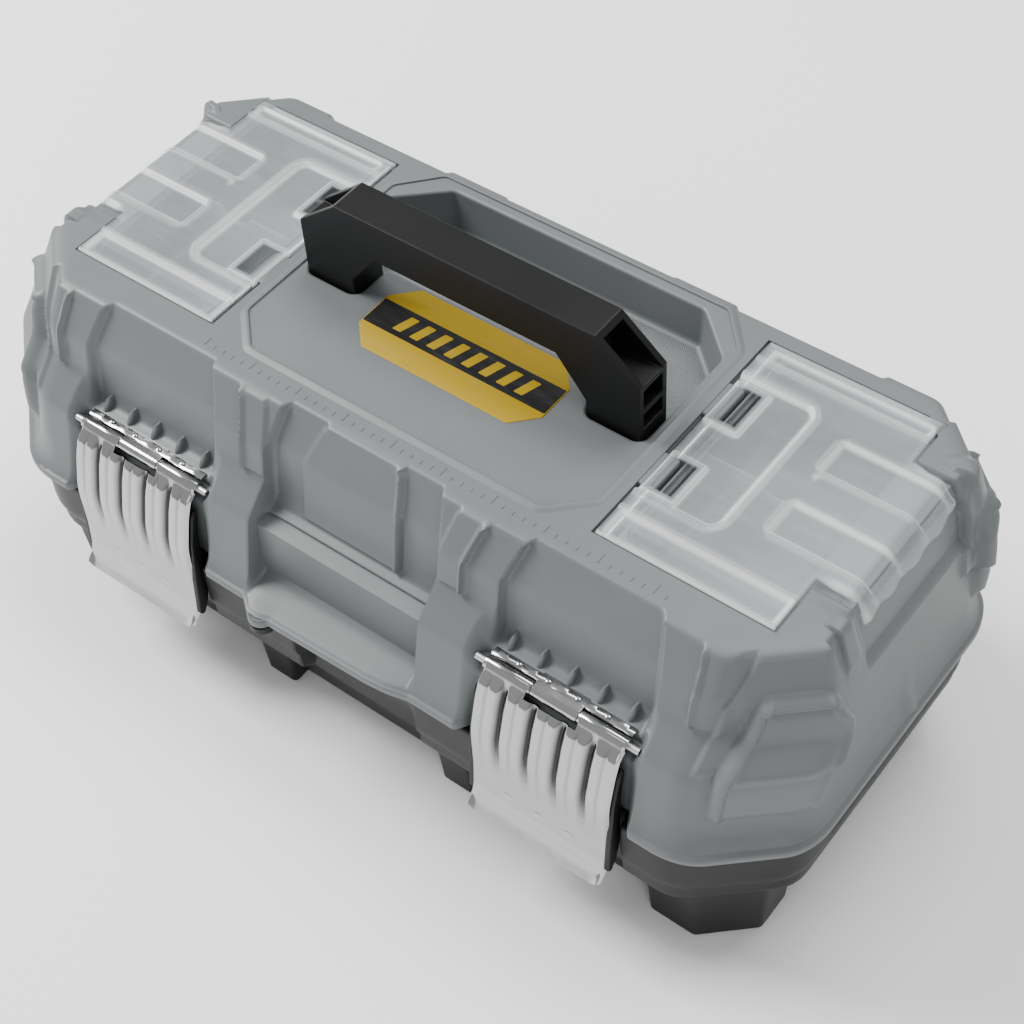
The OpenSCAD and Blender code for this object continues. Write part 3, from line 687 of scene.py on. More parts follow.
def wall_columns(level, front_marks, side_marks, corner_marks, coarse, fine):
    """Arc lengths of the outline's turning points at one level, and the places of the wall's columns.
    Returns the arcs, the columns and, for each column, its X on the front and back runs, its Y on the
    ends, its distance from the nearest corner's middle, positive towards the end, and whether it is
    on the front run."""
    pts = outline_corners(*[np.array([v]) for v in level])[0]
    arcs = np.concatenate([[0], np.cumsum(np.linalg.norm(np.roll(pts, -1, axis=0) - pts, axis=1))])
    mids = [(arcs[3] + arcs[4]) / 2, (arcs[7] + arcs[8]) / 2, (arcs[11] + arcs[12]) / 2,
        (arcs[15] + arcs[16]) / 2]
    signs = [1, -1, 1, -1]
    marks = []
    front0, back0 = (arcs[1] + arcs[2]) / 2, (arcs[9] + arcs[10]) / 2
    right0, left0 = arcs[5] + 33, arcs[14] - 33
    marks += [front0 + m for m in front_marks] + [back0 - m for m in front_marks]
    marks += [right0 + m for m in side_marks] + [left0 - m for m in side_marks]
    marks += [mid + sign * c for mid, sign in zip(mids, signs) for c in corner_marks]
    s = stations(0, arcs[-1], coarse, fine, marks, 2.6)[:-1]
    x = np.where(s < arcs[4], s - front0, np.where((s > arcs[8]) & (s < arcs[12]), back0 - s, np.nan))
    y = np.where((s > arcs[4]) & (s < arcs[8]), s - right0, np.where(s > arcs[12], left0 - s, np.nan))
    gap = (s[:, None] - np.array(mids)[None] + arcs[-1] / 2) % arcs[-1] - arcs[-1] / 2
    near = np.abs(gap).argmin(axis=1)
    c = gap[np.arange(len(s)), near] * np.array(signs)[near]
    return arcs, s, x, y, c, s < arcs[4]


def spread(levels, steps, passes, crisp=-1):
    """Levels refined: each gap cut into its number of steps, then relaxed above the level crisp. Returns
    also each row's place in the list of levels."""
    place = np.concatenate([i + np.arange(n) / n for i, n in enumerate(steps)] + [[len(steps)]])
    full = np.stack([np.interp(place, np.arange(len(levels)),
        levels[:, k]) for k in range(levels.shape[1])], axis=1)
    soft = np.clip(place - crisp, 0, 1)[:, None]
    return full + (relax(full, passes) - full) * soft, place


def outward(xy):
    """Unit directions square to closed outlines, away from their middle."""
    t = np.roll(xy, -1, axis=1) - np.roll(xy, 1, axis=1)
    n = np.stack([t[..., 1], -t[..., 0]], axis=-1)
    return n / np.linalg.norm(n, axis=-1)[..., None]


def lid_wall():
    """The lid's outside wall. Rows follow the levels, columns the rounded outline. On the front run each
    row's height and distance are mixed from the pillar, latch bay and middle bay profiles by s-curved
    masks along X; ribs, panels and shields are then pushed out along the outline's normal."""
    levels, r = spread(LID_LEVELS, LID_STEPS, 2, 7)
    bay, _ = spread(LATCH_BAY, LID_STEPS, 2, 7)
    mid, _ = spread(MIDDLE_BAY, LID_STEPS, 2, 7)
    front = [-170, -165, -147, -152, -142, -81.8, -75, -68, -64, -57.9, -45.5, -41, -28, -19.8, 18.6, 24,
        38.8, 43, 49]
    front += [58, 63.7, 68, 75, 81, 142, 147, 152, 165]
    front += [-25.5, -22.5, 21.3, 41]
    front += [side * m for side in (-1, 1) for m in (48, 51.5, 55, 60, 62, 73, 77, 79.5, 84, 144.5, 149.5,
        162, 167)]
    arcs, s, x, y, c, on_front = wall_columns(
        [207.0, 92.0, 96.6, 36.0, 33.0], front, [-38, -30, -22, 54, 61, 68, 0], list(range(-24, 42, 3)),
        3.2, 0.62
    )
    z, f, xh, b, cx, cy = levels.T
    w = np.interp(r, np.arange(len(ROUNDING)), ROUNDING)
    xy = soften(outline_corners(xh, f, b, cx, cy), arcs, s, w)
    n = outward(xy)
    height = np.repeat(z[:, None], len(s), axis=1)
    rr = r[:, None]
    xf = np.where(on_front, x, 999.0)[None]
    xb = np.where(~on_front & ~np.isnan(x), x, 999.0)[None]
    ye = np.where(np.isnan(y), 999.0, y)[None]
    ax = np.abs(xf)
    high = ease(rr, 15.6, 17.6)
    shelf = 1 - ease(rr, 12.4, 13.8)
    # latch bays: their inner wall leans back below the ledge, their upper corners are cut
    inner = 75.2 + 6.4 * high - 3.6 * shelf
    outer = 147.4 - 5.6 * high + 2.2 * shelf
    soft = 2.4 + 6.5 * shelf
    in_bay = ease(ax, inner - soft / 2,
        inner + soft / 2) * (1 - ease(ax, outer - 1.2 - soft / 4, outer + 1.2 + soft / 4))
    lo, hi = -44.6 + 3.4 * high, 43.4 - 4.4 * high
    in_mid = ease(xf, lo - 1.6, lo + 1.4) * (1 - ease(xf, hi - 1.4, hi + 1.6))
    xy[..., 1] += in_bay * (f - bay[:, 1])[:, None] + in_mid * (f - mid[:, 1])[:, None]
    height = height + in_bay * (bay[:, 0] - z)[:, None] + in_mid * (mid[:, 0] - z)[:, None]
    push = np.zeros_like(height)
    upper = ease(rr, 13.2, 13.9) * (1 - ease(rr, 17.5, 18.4))
    # raised strip on each middle pillar, with a thin rib along its outer side
    strip0, strip1 = 45.5 + 4.5 * high, 58.2 + 5.6 * high
    push += upper * (1.5 * band(ax, strip0, strip1, 1.5) + 1.6 * bead(ax, strip1 - 0.8, 2.0))
    # the same rib on the outer pillars
    rib = 164.4 - 1.5 * high
    push += upper * (1.2 * ease(ax, rib - 1.5, rib) * (ax < 400) + 1.5 * bead(ax, rib,
        2.0)) * (1 - ease(ax, 172, 182))
    # panel of the middle bay: left edge and a rib on the right
    p0, p1 = -27.6 + 7.6 * high, 23.6 - 4.8 * high
    panel = ease(rr, 13.2, 13.8) * (1 - ease(rr, 17.9, 18.8))
    push += panel * (2.2 * band(xf, p0, p1, 2.2) + 1.3 * bead(xf, p1 - 0.8, 2.0))
    # lip of the middle bay, which widens to the padlock's boss
    lip = np.interp(xf, [-46, -39, -34, -28, 24, 34, 44],
        [0, 5.5, 6.2, 4.6, 3.4, 2.4, 0]) * (1 - ease(rr, 6.3, 8.6))
    push += np.where(ax < 60, lip, 0)
    # corners: raised band, and a shield that bulges between two side ribs
    left = np.interp(height, [18, 24, 48, 62, 75, 90.6], [-12.5, -15.5, -14.0, -11, -5, 3])
    right = np.interp(height, [18, 24, 48, 62, 75, 90.6], [23.5, 27.5, 31.0, 30.5, 24.5, 17])
    cc = c[None] - 1.0
    frame_l = np.interp(height, [20, 44, 56, 70, 90.6], [-24, -23.5, -22.5, -20, -9])
    frame_r = np.interp(height, [20, 44, 56, 74, 90.6], [38, 38.5, 38.5, 37.5, 27])
    tall = ease(height, 42, 47) * (1 - ease(rr, 17.4, 18.6))
    push += 2.2 * tall * band(cc, frame_l, frame_r, 1.8)
    belly = ease(height, 19.0, 24.5) * (1 - ease(height, 72.5, 75.5))
    swell = (2.2 + 3.4 * bead(height, 52, 44)) * band(cc, left, right, 2.6)
    push += belly * swell
    push += belly * 1.5 * (bead(cc, left + 3.2, 2.2) + bead(cc, right - 3.2, 2.2))
    push -= 0.8 * band(cc, left + 1, right - 1, 2) * bead(height, 70.2, 1.5)
    # rear relief: shallow bays between the pillars
    rear = band(np.abs(xb), 76, 146, 3) + band(xb, -44, 44, 3)
    push -= 2.6 * rear * ease(rr, 13.0, 14.2) * (1 - ease(rr, 18, 19.4))
    xy += n * push[..., None]
    # finger recess under each cover's tab, its floor level with the cover's seat
    side = band(ye, -20.8, 52.8, 2.2)
    cut_x = np.interp(r, [0, 14, 14.5, 15, 16, 17, 18, 19, 20],
        [900, 205.1, 199.6, 198.9, 198.7, 191.4, 189.6, 187.6, 184])
    cut_z = np.interp(r, [14, 14.5, 15, 16, 17, 18, 19, 20], [59, 64.6, 71, 75.6, 86.8, 88.1, 88.2, 88.2])
    sgn = np.sign(xy[..., 0])
    use = side * (rr >= 14)
    xy[..., 0] += use * (sgn * np.minimum(np.abs(xy[..., 0]), cut_x[:, None]) - xy[..., 0])
    height += use * (cut_z[:, None] - height)
    # horns beside the tab, and a half-round rib in the middle of each end's rim
    horn = band(ye, -37, -25.5, 4) + band(ye, 58.5, 70, 4)
    out = horn * bead(rr, 17.3, 3.2)
    xy[..., 0] += sgn * 2.6 * out
    height += 1.6 * horn * ease(rr, 16.2, 18.5) * (1 - ease(rr, 19.4, 20))
    xy[..., 0] += sgn * 2.4 * bead(ye, 8, 5) * bead(rr, 8, 2.4)
    # last row: runs in to the covers' seats at the ends, and a hair inwards elsewhere
    last = xy[-1:] - n[-1:] * 0.4
    seat = (np.abs(last[..., 0]) > 179.1) & (last[..., 1] > -46.5) & (last[..., 1] < 76.5)
    last[..., 0] = np.where(seat, np.sign(last[..., 0]) * 179.1, last[..., 0])
    xy = np.concatenate([xy, last])
    height = np.concatenate([height, height[-1:]])
    return np.concatenate([xy, height[..., None] + SEAM], axis=-1)


LID_WALL = lid_wall()


def lid_top():
    """Flat top: the last row of the wall as its outline, with the pit and the covers' seats left open.
    The pit's hole meets the outer edge of the pit walls' rounded lip."""
    edge = LID_WALL[-1]
    pit_edge = loop(PIT, 5.0, -1.6)
    seats = [rectangle(97.2, 179.1, -46.5, 76.5), rectangle(-179.1, -97.2, -46.5, 76.5)]
    return plate(edge[:, :2], [pit_edge, *seats], DECK)


# Outline of the pocket that the handle folds into, counterclockwise
PIT = [(-87.5, 0.6), (-58.5, 0.6), (-58.5, 21), (58.5, 21), (58.5, 0.6), (87.5, 0.6), (87.5, 57),
    (66, 76.4), (-66, 76.4), (-87.5, 57)]


def pit_walls():
    """Pit: a quarter-round lip, walls drawn in by 1.2 mm on the way down, and a rounded foot."""
    rings = []
    for t in np.linspace(0, math.pi / 2, 5):
        rings.append(at_z(loop(PIT, 5.0, -1.6 * (1 - math.sin(t))), DECK - 1.6 * (1 - math.cos(t))))
    for t in np.linspace(0, math.pi / 2, 5):
        rings.append(at_z(loop(PIT, 5.0, 1.2 + 2.5 * (1 - math.cos(t))),
            PIT_FLOOR + 2.5 * (1 - math.sin(t))))
    return rings


def step_line():
    """Low rounded line round the middle of the top: a profile 1.8 mm wide and 0.6 mm high carried along
    an octagon that passes between the covers and in front of the label."""
    octagon = [(-75, -48.4), (75, -48.4), (91.6, -32), (91.6, 64), (75, 82.4), (-75, 82.4), (-91.6, 64),
        (-91.6, -32)]
    profile = [(-2.6, -0.05), (-1.4, 0.4), (-0.2, 0.95), (0.5, 1.0), (1.0, 0.8), (1.3, -0.05)]
    return loft([at_z(loop(octagon, 6, d, 4), DECK + h) for d, h in profile])


def organizer_seat():
    """Right seat of a clear cover: low walls, floor with openings, hinge trough with two lugs, and the
    deep well with rounded corners and foot."""
    x0, x1, y0, y1 = 97.2, 179.1, -46.5, 76.5
    parts = []
    ys = stations(y0, y1, 8, 0.8, [-20.8, 52.8], 3)
    notch = band(ys, -20.8, 52.8, 2.2)
    top = DECK - (DECK - SEAT) * notch
    wall = np.stack([np.stack([np.full_like(ys, x1), ys, top], axis=-1),
        np.stack([np.full_like(ys, x1), ys, np.full_like(ys, SEAT)], axis=-1)])
    parts.append(grid(wall))
    run = np.array([(x1, y1), (x0, y1), (x0, y0), (x1, y0)])
    parts.append(grid(np.stack([at_z(run, DECK), at_z(run, SEAT)])))
    trough = loop(rectangle(x0 + 0.4, 106.0, y0 + 0.4, y1 - 0.4), 1.2)
    well = loop(rectangle(106.9, 176, -41, 71), 6)
    parts.append(plate(rectangle(x0, x1, y0, y1), [trough, well], SEAT))
    parts.append(loft([at_z(trough, SEAT),
        at_z(loop(rectangle(x0 + 0.4, 106.0, y0 + 0.4, y1 - 0.4), 1.2, 0.3), SEAT - 5)], last=True))
    rings = [at_z(loop(rectangle(106.9, 176, -41, 71), 6, -0.5), SEAT), at_z(well, SEAT - 1)]
    for t in np.linspace(0, math.pi / 2, 5):
        rings.append(at_z(loop(rectangle(106.9, 176, -41, 71), 6, 1.0 + 4 * (1 - math.cos(t))),
            WELL_FLOOR + 4 * (1 - math.sin(t))))
    parts.append(loft(rings, last=True))
    for a, b in ((-16, 3), (28, 48)):
        parts.append(block(rectangle(95.6, 104.9, a, b), SEAT - 5, DECK - 0.3, 1.6, 0.9))
    return parts


def ledge_fins():
    """Upright fins at the foot of each latch bay's wall: rounded blades 2.6 mm wide that lean on it."""
    parts = []
    for side in (-1, 1):
        for i in range(5):
            x = side * (75.2 + 71.4 * (i + 0.5) / 5)
            t = np.linspace(0, 1, 9)
            z = SEAM + 41.5 + 6.4 * t
            reach = 82.0 - 4.2 * t**2
            half = 1.3 * np.sqrt(np.clip(1 - t**6, 0.1, 1))
            a = np.linspace(0, math.pi, 9)
            px = x + half[:, None] * np.cos(a)[None] * -1
            py = -(reach[:, None] - 1.4 + 1.4 * np.sin(a)[None])
            rows = np.stack([px, py, np.repeat(z[:, None], 9, axis=1)], axis=-1)
            start, end = rows[:, :1].copy(), rows[:, -1:].copy()
            start[..., 1] = end[..., 1] = -73
            parts.append(grid(np.concatenate([start, rows, end], axis=1)))
            cap = np.concatenate([start, rows, end], axis=1)[-1]
            parts.append((cap, [list(range(len(cap)))]))
    return parts


def padlock_boss():
    """Round boss with the padlock's hole, on the lip of the middle bay: rings round the hole from its
    lower edge out, over the rounded rim and back down through it."""
    a = np.arange(40) * 2 * math.pi / 40
    ring = [(2.9, 0.3), (2.9, 3.9), (3.3, 4.4), (4.6, 4.4), (5.0, 4.9), (5.6, 5.0), (6.0, 4.4), (6.1, 2.4),
        (6.0, 0.6), (5.7, 0.3), (2.9, 0.3)]
    rows = [np.stack([-34 + q * np.cos(a), -105.2 + q * np.sin(a), np.full_like(a, SEAM + h)],
        axis=-1) for q, h in ring]
    return [loft(rows, flip=True)]


def knuckles(z_sign, places, width):
    """Hinge knuckles behind the rim: a barrel and a web, as one profile carried along X."""
    parts = []
    a = np.linspace(-0.35 * math.pi, 1.1 * math.pi, 15)
    barrel_y, barrel_z = 107.2 + 4.2 * np.cos(a), 77 + z_sign * 4.2 * np.sin(a)
    y = np.concatenate([[98, 98], barrel_y[::-1] if z_sign < 0 else barrel_y[::-1]])
    z = np.concatenate([[77 - z_sign * 3, 77 + z_sign * 23], barrel_z[::-1]])
    for x in places:
        lo, hi = x - width / 2, x + width / 2
        rings = [
            np.stack([np.full_like(y, q), 103 + (y - 103) * k, 80 + (z - 80) * k], axis=-1)
            for q, k in ((lo, 0.94), (lo + 0.7, 1), (hi - 0.7, 1), (hi, 0.94))
        ]
        parts.append(loft(rings, first=True, last=True))
    return parts


def lid_liner():
    """Inside of the lid: a wall one thickness in from the outside, a rounded ceiling, the undersides of
    the pit and of the wells as drafted boxes. Returns also its lowest row, which the rim's edge meets."""
    z = np.array([0.3, 6, 20, 38, 41.5, 56, 71, 84, 87.4, 88.0])
    x = np.array([210.6, 208.6, 205.6, 204.2, 204.0, 202.4, 200.0, 196.6, 194.5, 191])
    f = np.array([89.6, 89.6, 89.4, 88.4, 74.2, 72.6, 69.0, 62.0, 59.6, 56])
    b = np.array([99, 96, 94.6, 93.4, 93.0, 92.0, 90.4, 86.4, 84.0, 80])
    cx, cy = np.linspace(38, 27, 10), np.linspace(35, 25, 10)
    pts = outline_corners(x, f, b, cx, cy)
    arcs = np.concatenate([[0], np.cumsum(np.linalg.norm(np.roll(pts[2], -1, axis=0) - pts[2], axis=1))])
    s = np.linspace(0, arcs[-1], 241)[:-1]
    xy = soften(pts, arcs, s, np.full(10, 6.0))
    p = np.concatenate([xy, np.repeat(z[:, None, None] + SEAM, len(s), axis=1)], axis=-1)
    boxes = [loop([(-90, -2), (90, -2), (90, 59), (68, 79), (-68, 79), (-90, 59)], 4)]
    well = rectangle(95, 178.6, -43.4, 73.6)
    boxes += [loop(well, 4), loop([(-q[0], q[1]) for q in well[::-1]], 4)]
    v, faces = plate(p[-1][:, :2], boxes, SEAM + 88.0, up=False)
    parts = [grid(p, closed=True, flip=True), (v, faces)]
    depths = [PIT_FLOOR - 2.6, WELL_FLOOR - 2.6, WELL_FLOOR - 2.6]
    for outline, deep in zip(boxes, depths):
        low = np.asarray(outline) - np.sign(np.asarray(outline) - np.mean(outline, axis=0)) * 0.8
        parts.append(loft([at_z(outline, SEAM + 88.0), at_z(low, deep)], last=True, flip=True))
    return parts, p[0]


def rim_underside(inner):
    """Flat ring between the lid wall's lowest row and the liner's, which meets the base."""
    return [plate(LID_WALL[0][:, :2], [inner[:, :2]], SEAM + 0.3, up=False)]


piece("lid_wall", [grid(LID_WALL, closed=True)], GREY, "lid", replaces=["lid_shell"])
piece("lid_top", [lid_top(), step_line()], GREY, "lid")
pit_rings = pit_walls()
piece("handle_pit", [loft(pit_rings)], GREY, "lid")
piece("handle_pit_floor", [loft([pit_rings[-1], pit_rings[-1] - [0, 0, 0.01]], last=True)], NET, "lid")
seat = organizer_seat()
piece("organizer_seat_right", seat, GREY, "lid")
piece("organizer_seat_left", [mirrored(q) for q in seat], GREY, "lid")
piece("ledge_fins", ledge_fins(), GREY, "lid")
piece("padlock_boss", padlock_boss(), GREY, "lid")
piece("lid_knuckles", knuckles(1, (-112, 112), 43.6), GREY, "lid")
lid_inside, lid_edge = lid_liner()
piece("lid_liner", lid_inside + rim_underside(lid_edge), GREY, "lid")


# ---- label and ruler ----


def label_outline(x, y, cut=10.5):
    """Long octagon of the label, counterclockwise, round the point (0, -1)."""
    return [(x - 10, -1 - y), (x, -1 - y + cut), (x, -1 + y - cut), (x - 10, -1 + y), (10 - x, -1 + y),
        (-x, -1 + y - cut), (-x, -1 - y + cut), (10 - x, -1 - y)]


def label_pieces():
    """Label: a plate with a soft edge, a dark band across it between cut ends, and slanted bars in a row
    on the band."""
    plate_part = loft(
        [at_z(loop(label_outline(47.5, 20), 1.0, 0), DECK - 0.3),
        at_z(loop(label_outline(47.5, 20), 1.0, 0.05), DECK + 0.22),
         at_z(loop(label_outline(47.5, 20), 1.0, 0.45), DECK + 0.4)], last=True)
    dark = rectangle(-47.1, 47.1, -8.6, 6.6)
    dark_part = loft([at_z(loop(dark, 0.6), DECK + 0.38), at_z(loop(dark, 0.6, 0.05), DECK + 0.46)],
        last=True)
    bars = []
    for i in range(8):
        x = -33.6 + i * 9.0
        bar = [(x, -5.8), (x + 4.4, -5.8), (x + 7.4, 3.8), (x + 3.0, 3.8)]
        bars.append(loft([at_z(loop(bar, 0.5), DECK + 0.44), at_z(loop(bar, 0.5, 0.05), DECK + 0.52)],
            last=True))
    return plate_part, dark_part, bars


def ruler_ticks():
    """Moulded ruler marks along the front of the flat top: short raised bars 5 mm apart, each fifth one
    longer, with rounded ends."""
    parts = []
    for i in range(47):
        x = -92 + 5 * i
        long = i % 5 == 0
        tick = rectangle(x - 0.22, x + 0.22, -57.2, -52.4 if long else -54.8)
        parts.append(loft([at_z(loop(tick, 0.2, 0, 2), DECK - 0.02),
            at_z(loop(tick, 0.2, 0.08, 2), DECK + 0.22)], last=True))
    return parts


# ---- shapes turned on their side ----


def turned(part, axis):
    """A shape made flat side down, laid along X or Y by a cyclic change of its axes."""
    v, f = part
    return (np.asarray(v)[:, [2, 0, 1]] if axis == "x" else np.asarray(v)[:, [1, 2, 0]]), f


# ---- latches ----

COVER_LINE = np.array([(-92.35, 115.9), (-97.5, 103.5), (-101.5, 88.5), (-104.3, 67.5), (-105.8, 50.5),
    (-107.2, 45.6), (-110.9, 39.6)])


def latch_cover():
    """Right latch cover. Along it, a line bends from its curl over the barrel down to the finger flare.
    Across it, five broad ribs part at narrow flutes, deep at the top and gone at two thirds of the
    height; the side edges turn in, and three small dimples sit above the flare. The curl is left out in the
    middle, round the leaf's eye. Returns also, for each point, how much painted dark reflection it gets from
    lying in a flute or crease."""
    curl = np.radians([116, 129, 142, 154, 166])
    start = np.stack([-89 - 3.35 * np.sin(curl - math.pi / 2), 115.3 + 3.35 * np.cos(curl - math.pi / 2)],
        axis=-1)
    line = np.concatenate([start, COVER_LINE])
    arc = np.concatenate([[0], np.cumsum(np.linalg.norm(np.diff(line, axis=0), axis=1))])
    t = np.linspace(0, arc[-1], 120)
    yz = np.stack([np.interp(t, arc, line[:, 0]), np.interp(t, arc, line[:, 1])], axis=-1)
    yz = relax(yz, 14)
    x = stations(-33.6, 33.6, 1.1, 0.42, [-21, -7, 7, 21, -32.6, 32.6, -28, -14, 0, 14, 28], 2.2)
    share = (t / t[-1])[:, None]
    fade = ease(share, 0.045, 0.12) * (1 - ease(share, 0.4, 0.72))
    flute = sum(bead(x, c, 2.9) for c in (-21, -7, 7, 21))[None]
    crease = sum(bead(x, c, 1.2) for c in (-28, -14, 0, 14, 28))[None]
    push = 2.2 * (1 - flute) * fade - 0.5 * crease * fade * (1 - ease(share, 0.3, 0.6))
    push -= 1.9 * ease(np.abs(x), 32.2, 33.6)[None] ** 1.5
    for c in (-15, 0, 15):
        push -= 0.7 * bead(np.hypot((x[None] - c) * 0.7, (share - 0.79) * t[-1]), 0, 2.0)
    push += 0.35 * bead(share, 0.885, 0.035) * band(x, -31, 31, 3)[None]
    d = np.gradient(yz, axis=0)
    d /= np.linalg.norm(d, axis=1)[:, None]
    n = np.stack([d[:, 1], -d[:, 0]], axis=-1)
    y = yz[:, 0][:, None] + n[:, 0][:, None] * push
    z = yz[:, 1][:, None] + n[:, 1][:, None] * push
    corner = ease(np.abs(x), 28, 33.6)[None] ** 2 * ease(share, 0.9, 1.0) * 2.2
    p = np.stack([110.9 + np.broadcast_to(x[None], y.shape), y, z + corner], axis=-1)
    # painted dark reflection: how deep each point lies in a flute or crease, for the chrome's near black base
    # colour
    dark = np.clip((1.1 * flute + 0.3 * crease) * fade, 0, 1) * np.ones_like(z)
    low = int(np.argmax(np.hypot(yz[:, 0] + 89, yz[:, 1] - 115.3) > 4.7))
    cuts = [np.s_[low:, :], np.s_[: low + 1, x <= -11.8], np.s_[: low + 1, x >= 11.8]]
    parts = [slab(p[cut], 0.9, flip=True) for cut in cuts]
    return parts, np.concatenate([np.resize(dark[cut].reshape(-1), len(q[0])) for cut,
        q in zip(cuts, parts)])


def latch_barrels():
    """Rolled eyes of the cover, on both sides of the leaf's eye: short hollow tubes round the pin."""
    a = np.arange(28) * 2 * math.pi / 28
    parts = []
    for x0, x1 in ((77.2, 99.6), (122.2, 144.6)):
        rows = [(x0, 1.6), (x0, 2.9), (x0 + 0.2, 3.0), (x1 - 0.2, 3.0), (x1, 2.9), (x1, 1.6), (x0, 1.6)]
        parts.append(loft([np.stack([np.full_like(a, q), -89 + r * np.cos(a), 115.3 + r * np.sin(a)],
            axis=-1) for q, r in rows]))
    return parts


def latch_cheeks():
    """Black cheeks of the lever at both sides of the cover: a plate 2 mm thick that follows the cover's
    line in front and steps back behind it. They are partly the lever's real sides and partly a dark stand-in
    for the shadow in the gap between the cover and the bay."""
    front = [(-93.2, 111), (-97.0, 103.4), (-101.0, 88.4), (-103.8, 67.4), (-105.0, 54), (-105.8, 47)]
    back = [(-103.6, 44.4), (-100.0, 51), (-97.2, 60), (-97.0, 76), (-96.4, 90), (-93.8, 103)]
    outline = front + back
    parts = []
    for x0, x1 in ((75.75, 78.4), (143.4, 146.05)):
        parts.append(turned(block(outline, x0, x1, 1.2, 0.5), "x"))
    return parts


def leaf_strip():
    """Steel strip on the ledge behind the cover, with a folded front edge and four rivet heads."""
    line = np.array([(-86.4, 117.75), (-86.2, 118.35), (-85.6, 118.6), (-83.2, 118.6), (-82.7, 118.3),
        (-82.6, 117.75)])
    x = np.linspace(77.5, 144.3, 60)
    wave = 0.25 * np.cos((x - 110.9) / 14 * 2 * math.pi)
    p = np.stack([np.broadcast_to(x[None], (6, 60)), np.repeat(line[:, :1], 60, axis=1),
        line[:, 1:] + np.where((line[:, 1:] > 118.3), wave[None], 0)], axis=-1)
    parts = [grid(p)]
    for c in (90, 104, 118, 132):
        a = np.arange(14) * 2 * math.pi / 14
        parts.append(loft([np.stack([c + r * np.cos(a), -84.4 + r * np.sin(a), np.full_like(a, h)],
            axis=-1) for r, h in ((1.3, 118.3), (1.25, 119.0), (0.8, 119.25))], last=True))
    return parts


# ---- organizer covers ----


def cover_height(x, y):
    """Height of the clear cover's moulded relief above its sheet, from the distances to its lines:
    sunk strips at the front and the back between ribs, a rounded U that is one step lower, frames round
    the hinge windows, and two sunk channels that run out over the tab."""
    h = np.zeros_like(x)
    h -= 1.5 * band(y, -43.8, -31.6, 1.6) * band(x, 101.5, 176, 2)
    h -= 1.2 * band(y, 66.5, 71.8, 1.6) * band(x, 104, 176, 2)
    h += 0.7 * bead(y, -30.2, 1.5) + 0.5 * bead(y, -45.0, 1.1) + 0.6 * bead(y, 65.0, 1.5)
    h += 0.35 * bead(y, -34.6, 0.9) * band(x, 102, 176, 2)
    qx, qy = np.maximum(x - 129.0, 0), np.maximum(np.abs(y - 17.2) - 30.5, 0)
    u = np.hypot(qx, qy) - 6.4
    h -= 1.5 * (1 - ease(u, -1.6, 0.2)) + -0.8 * bead(u, 1.0, 1.7)
    for y0, y1 in ((-16.6, 3.4), (27.0, 48.9)):
        w = np.maximum(np.maximum(x - 113.4, 101.8 - x), np.maximum(y0 - y, y - y1))
        h += 1.5 * (1 - ease(w, 1.0, 2.4)) * (u < 0.2)
    for yc in (0.0, 36.6):
        cx = np.maximum(152.5 - x, 0)
        c = np.maximum(np.abs(y - yc) - 7.4, 0) + cx - 0.6
        h -= 1.4 * (1 - ease(c, -0.5, 1.3)) - 0.45 * bead(c, 2.0, 1.4)
    h += 0.9 * bead(np.hypot(x - 151.8, y - 24.4), 0, 1.5)
    return h


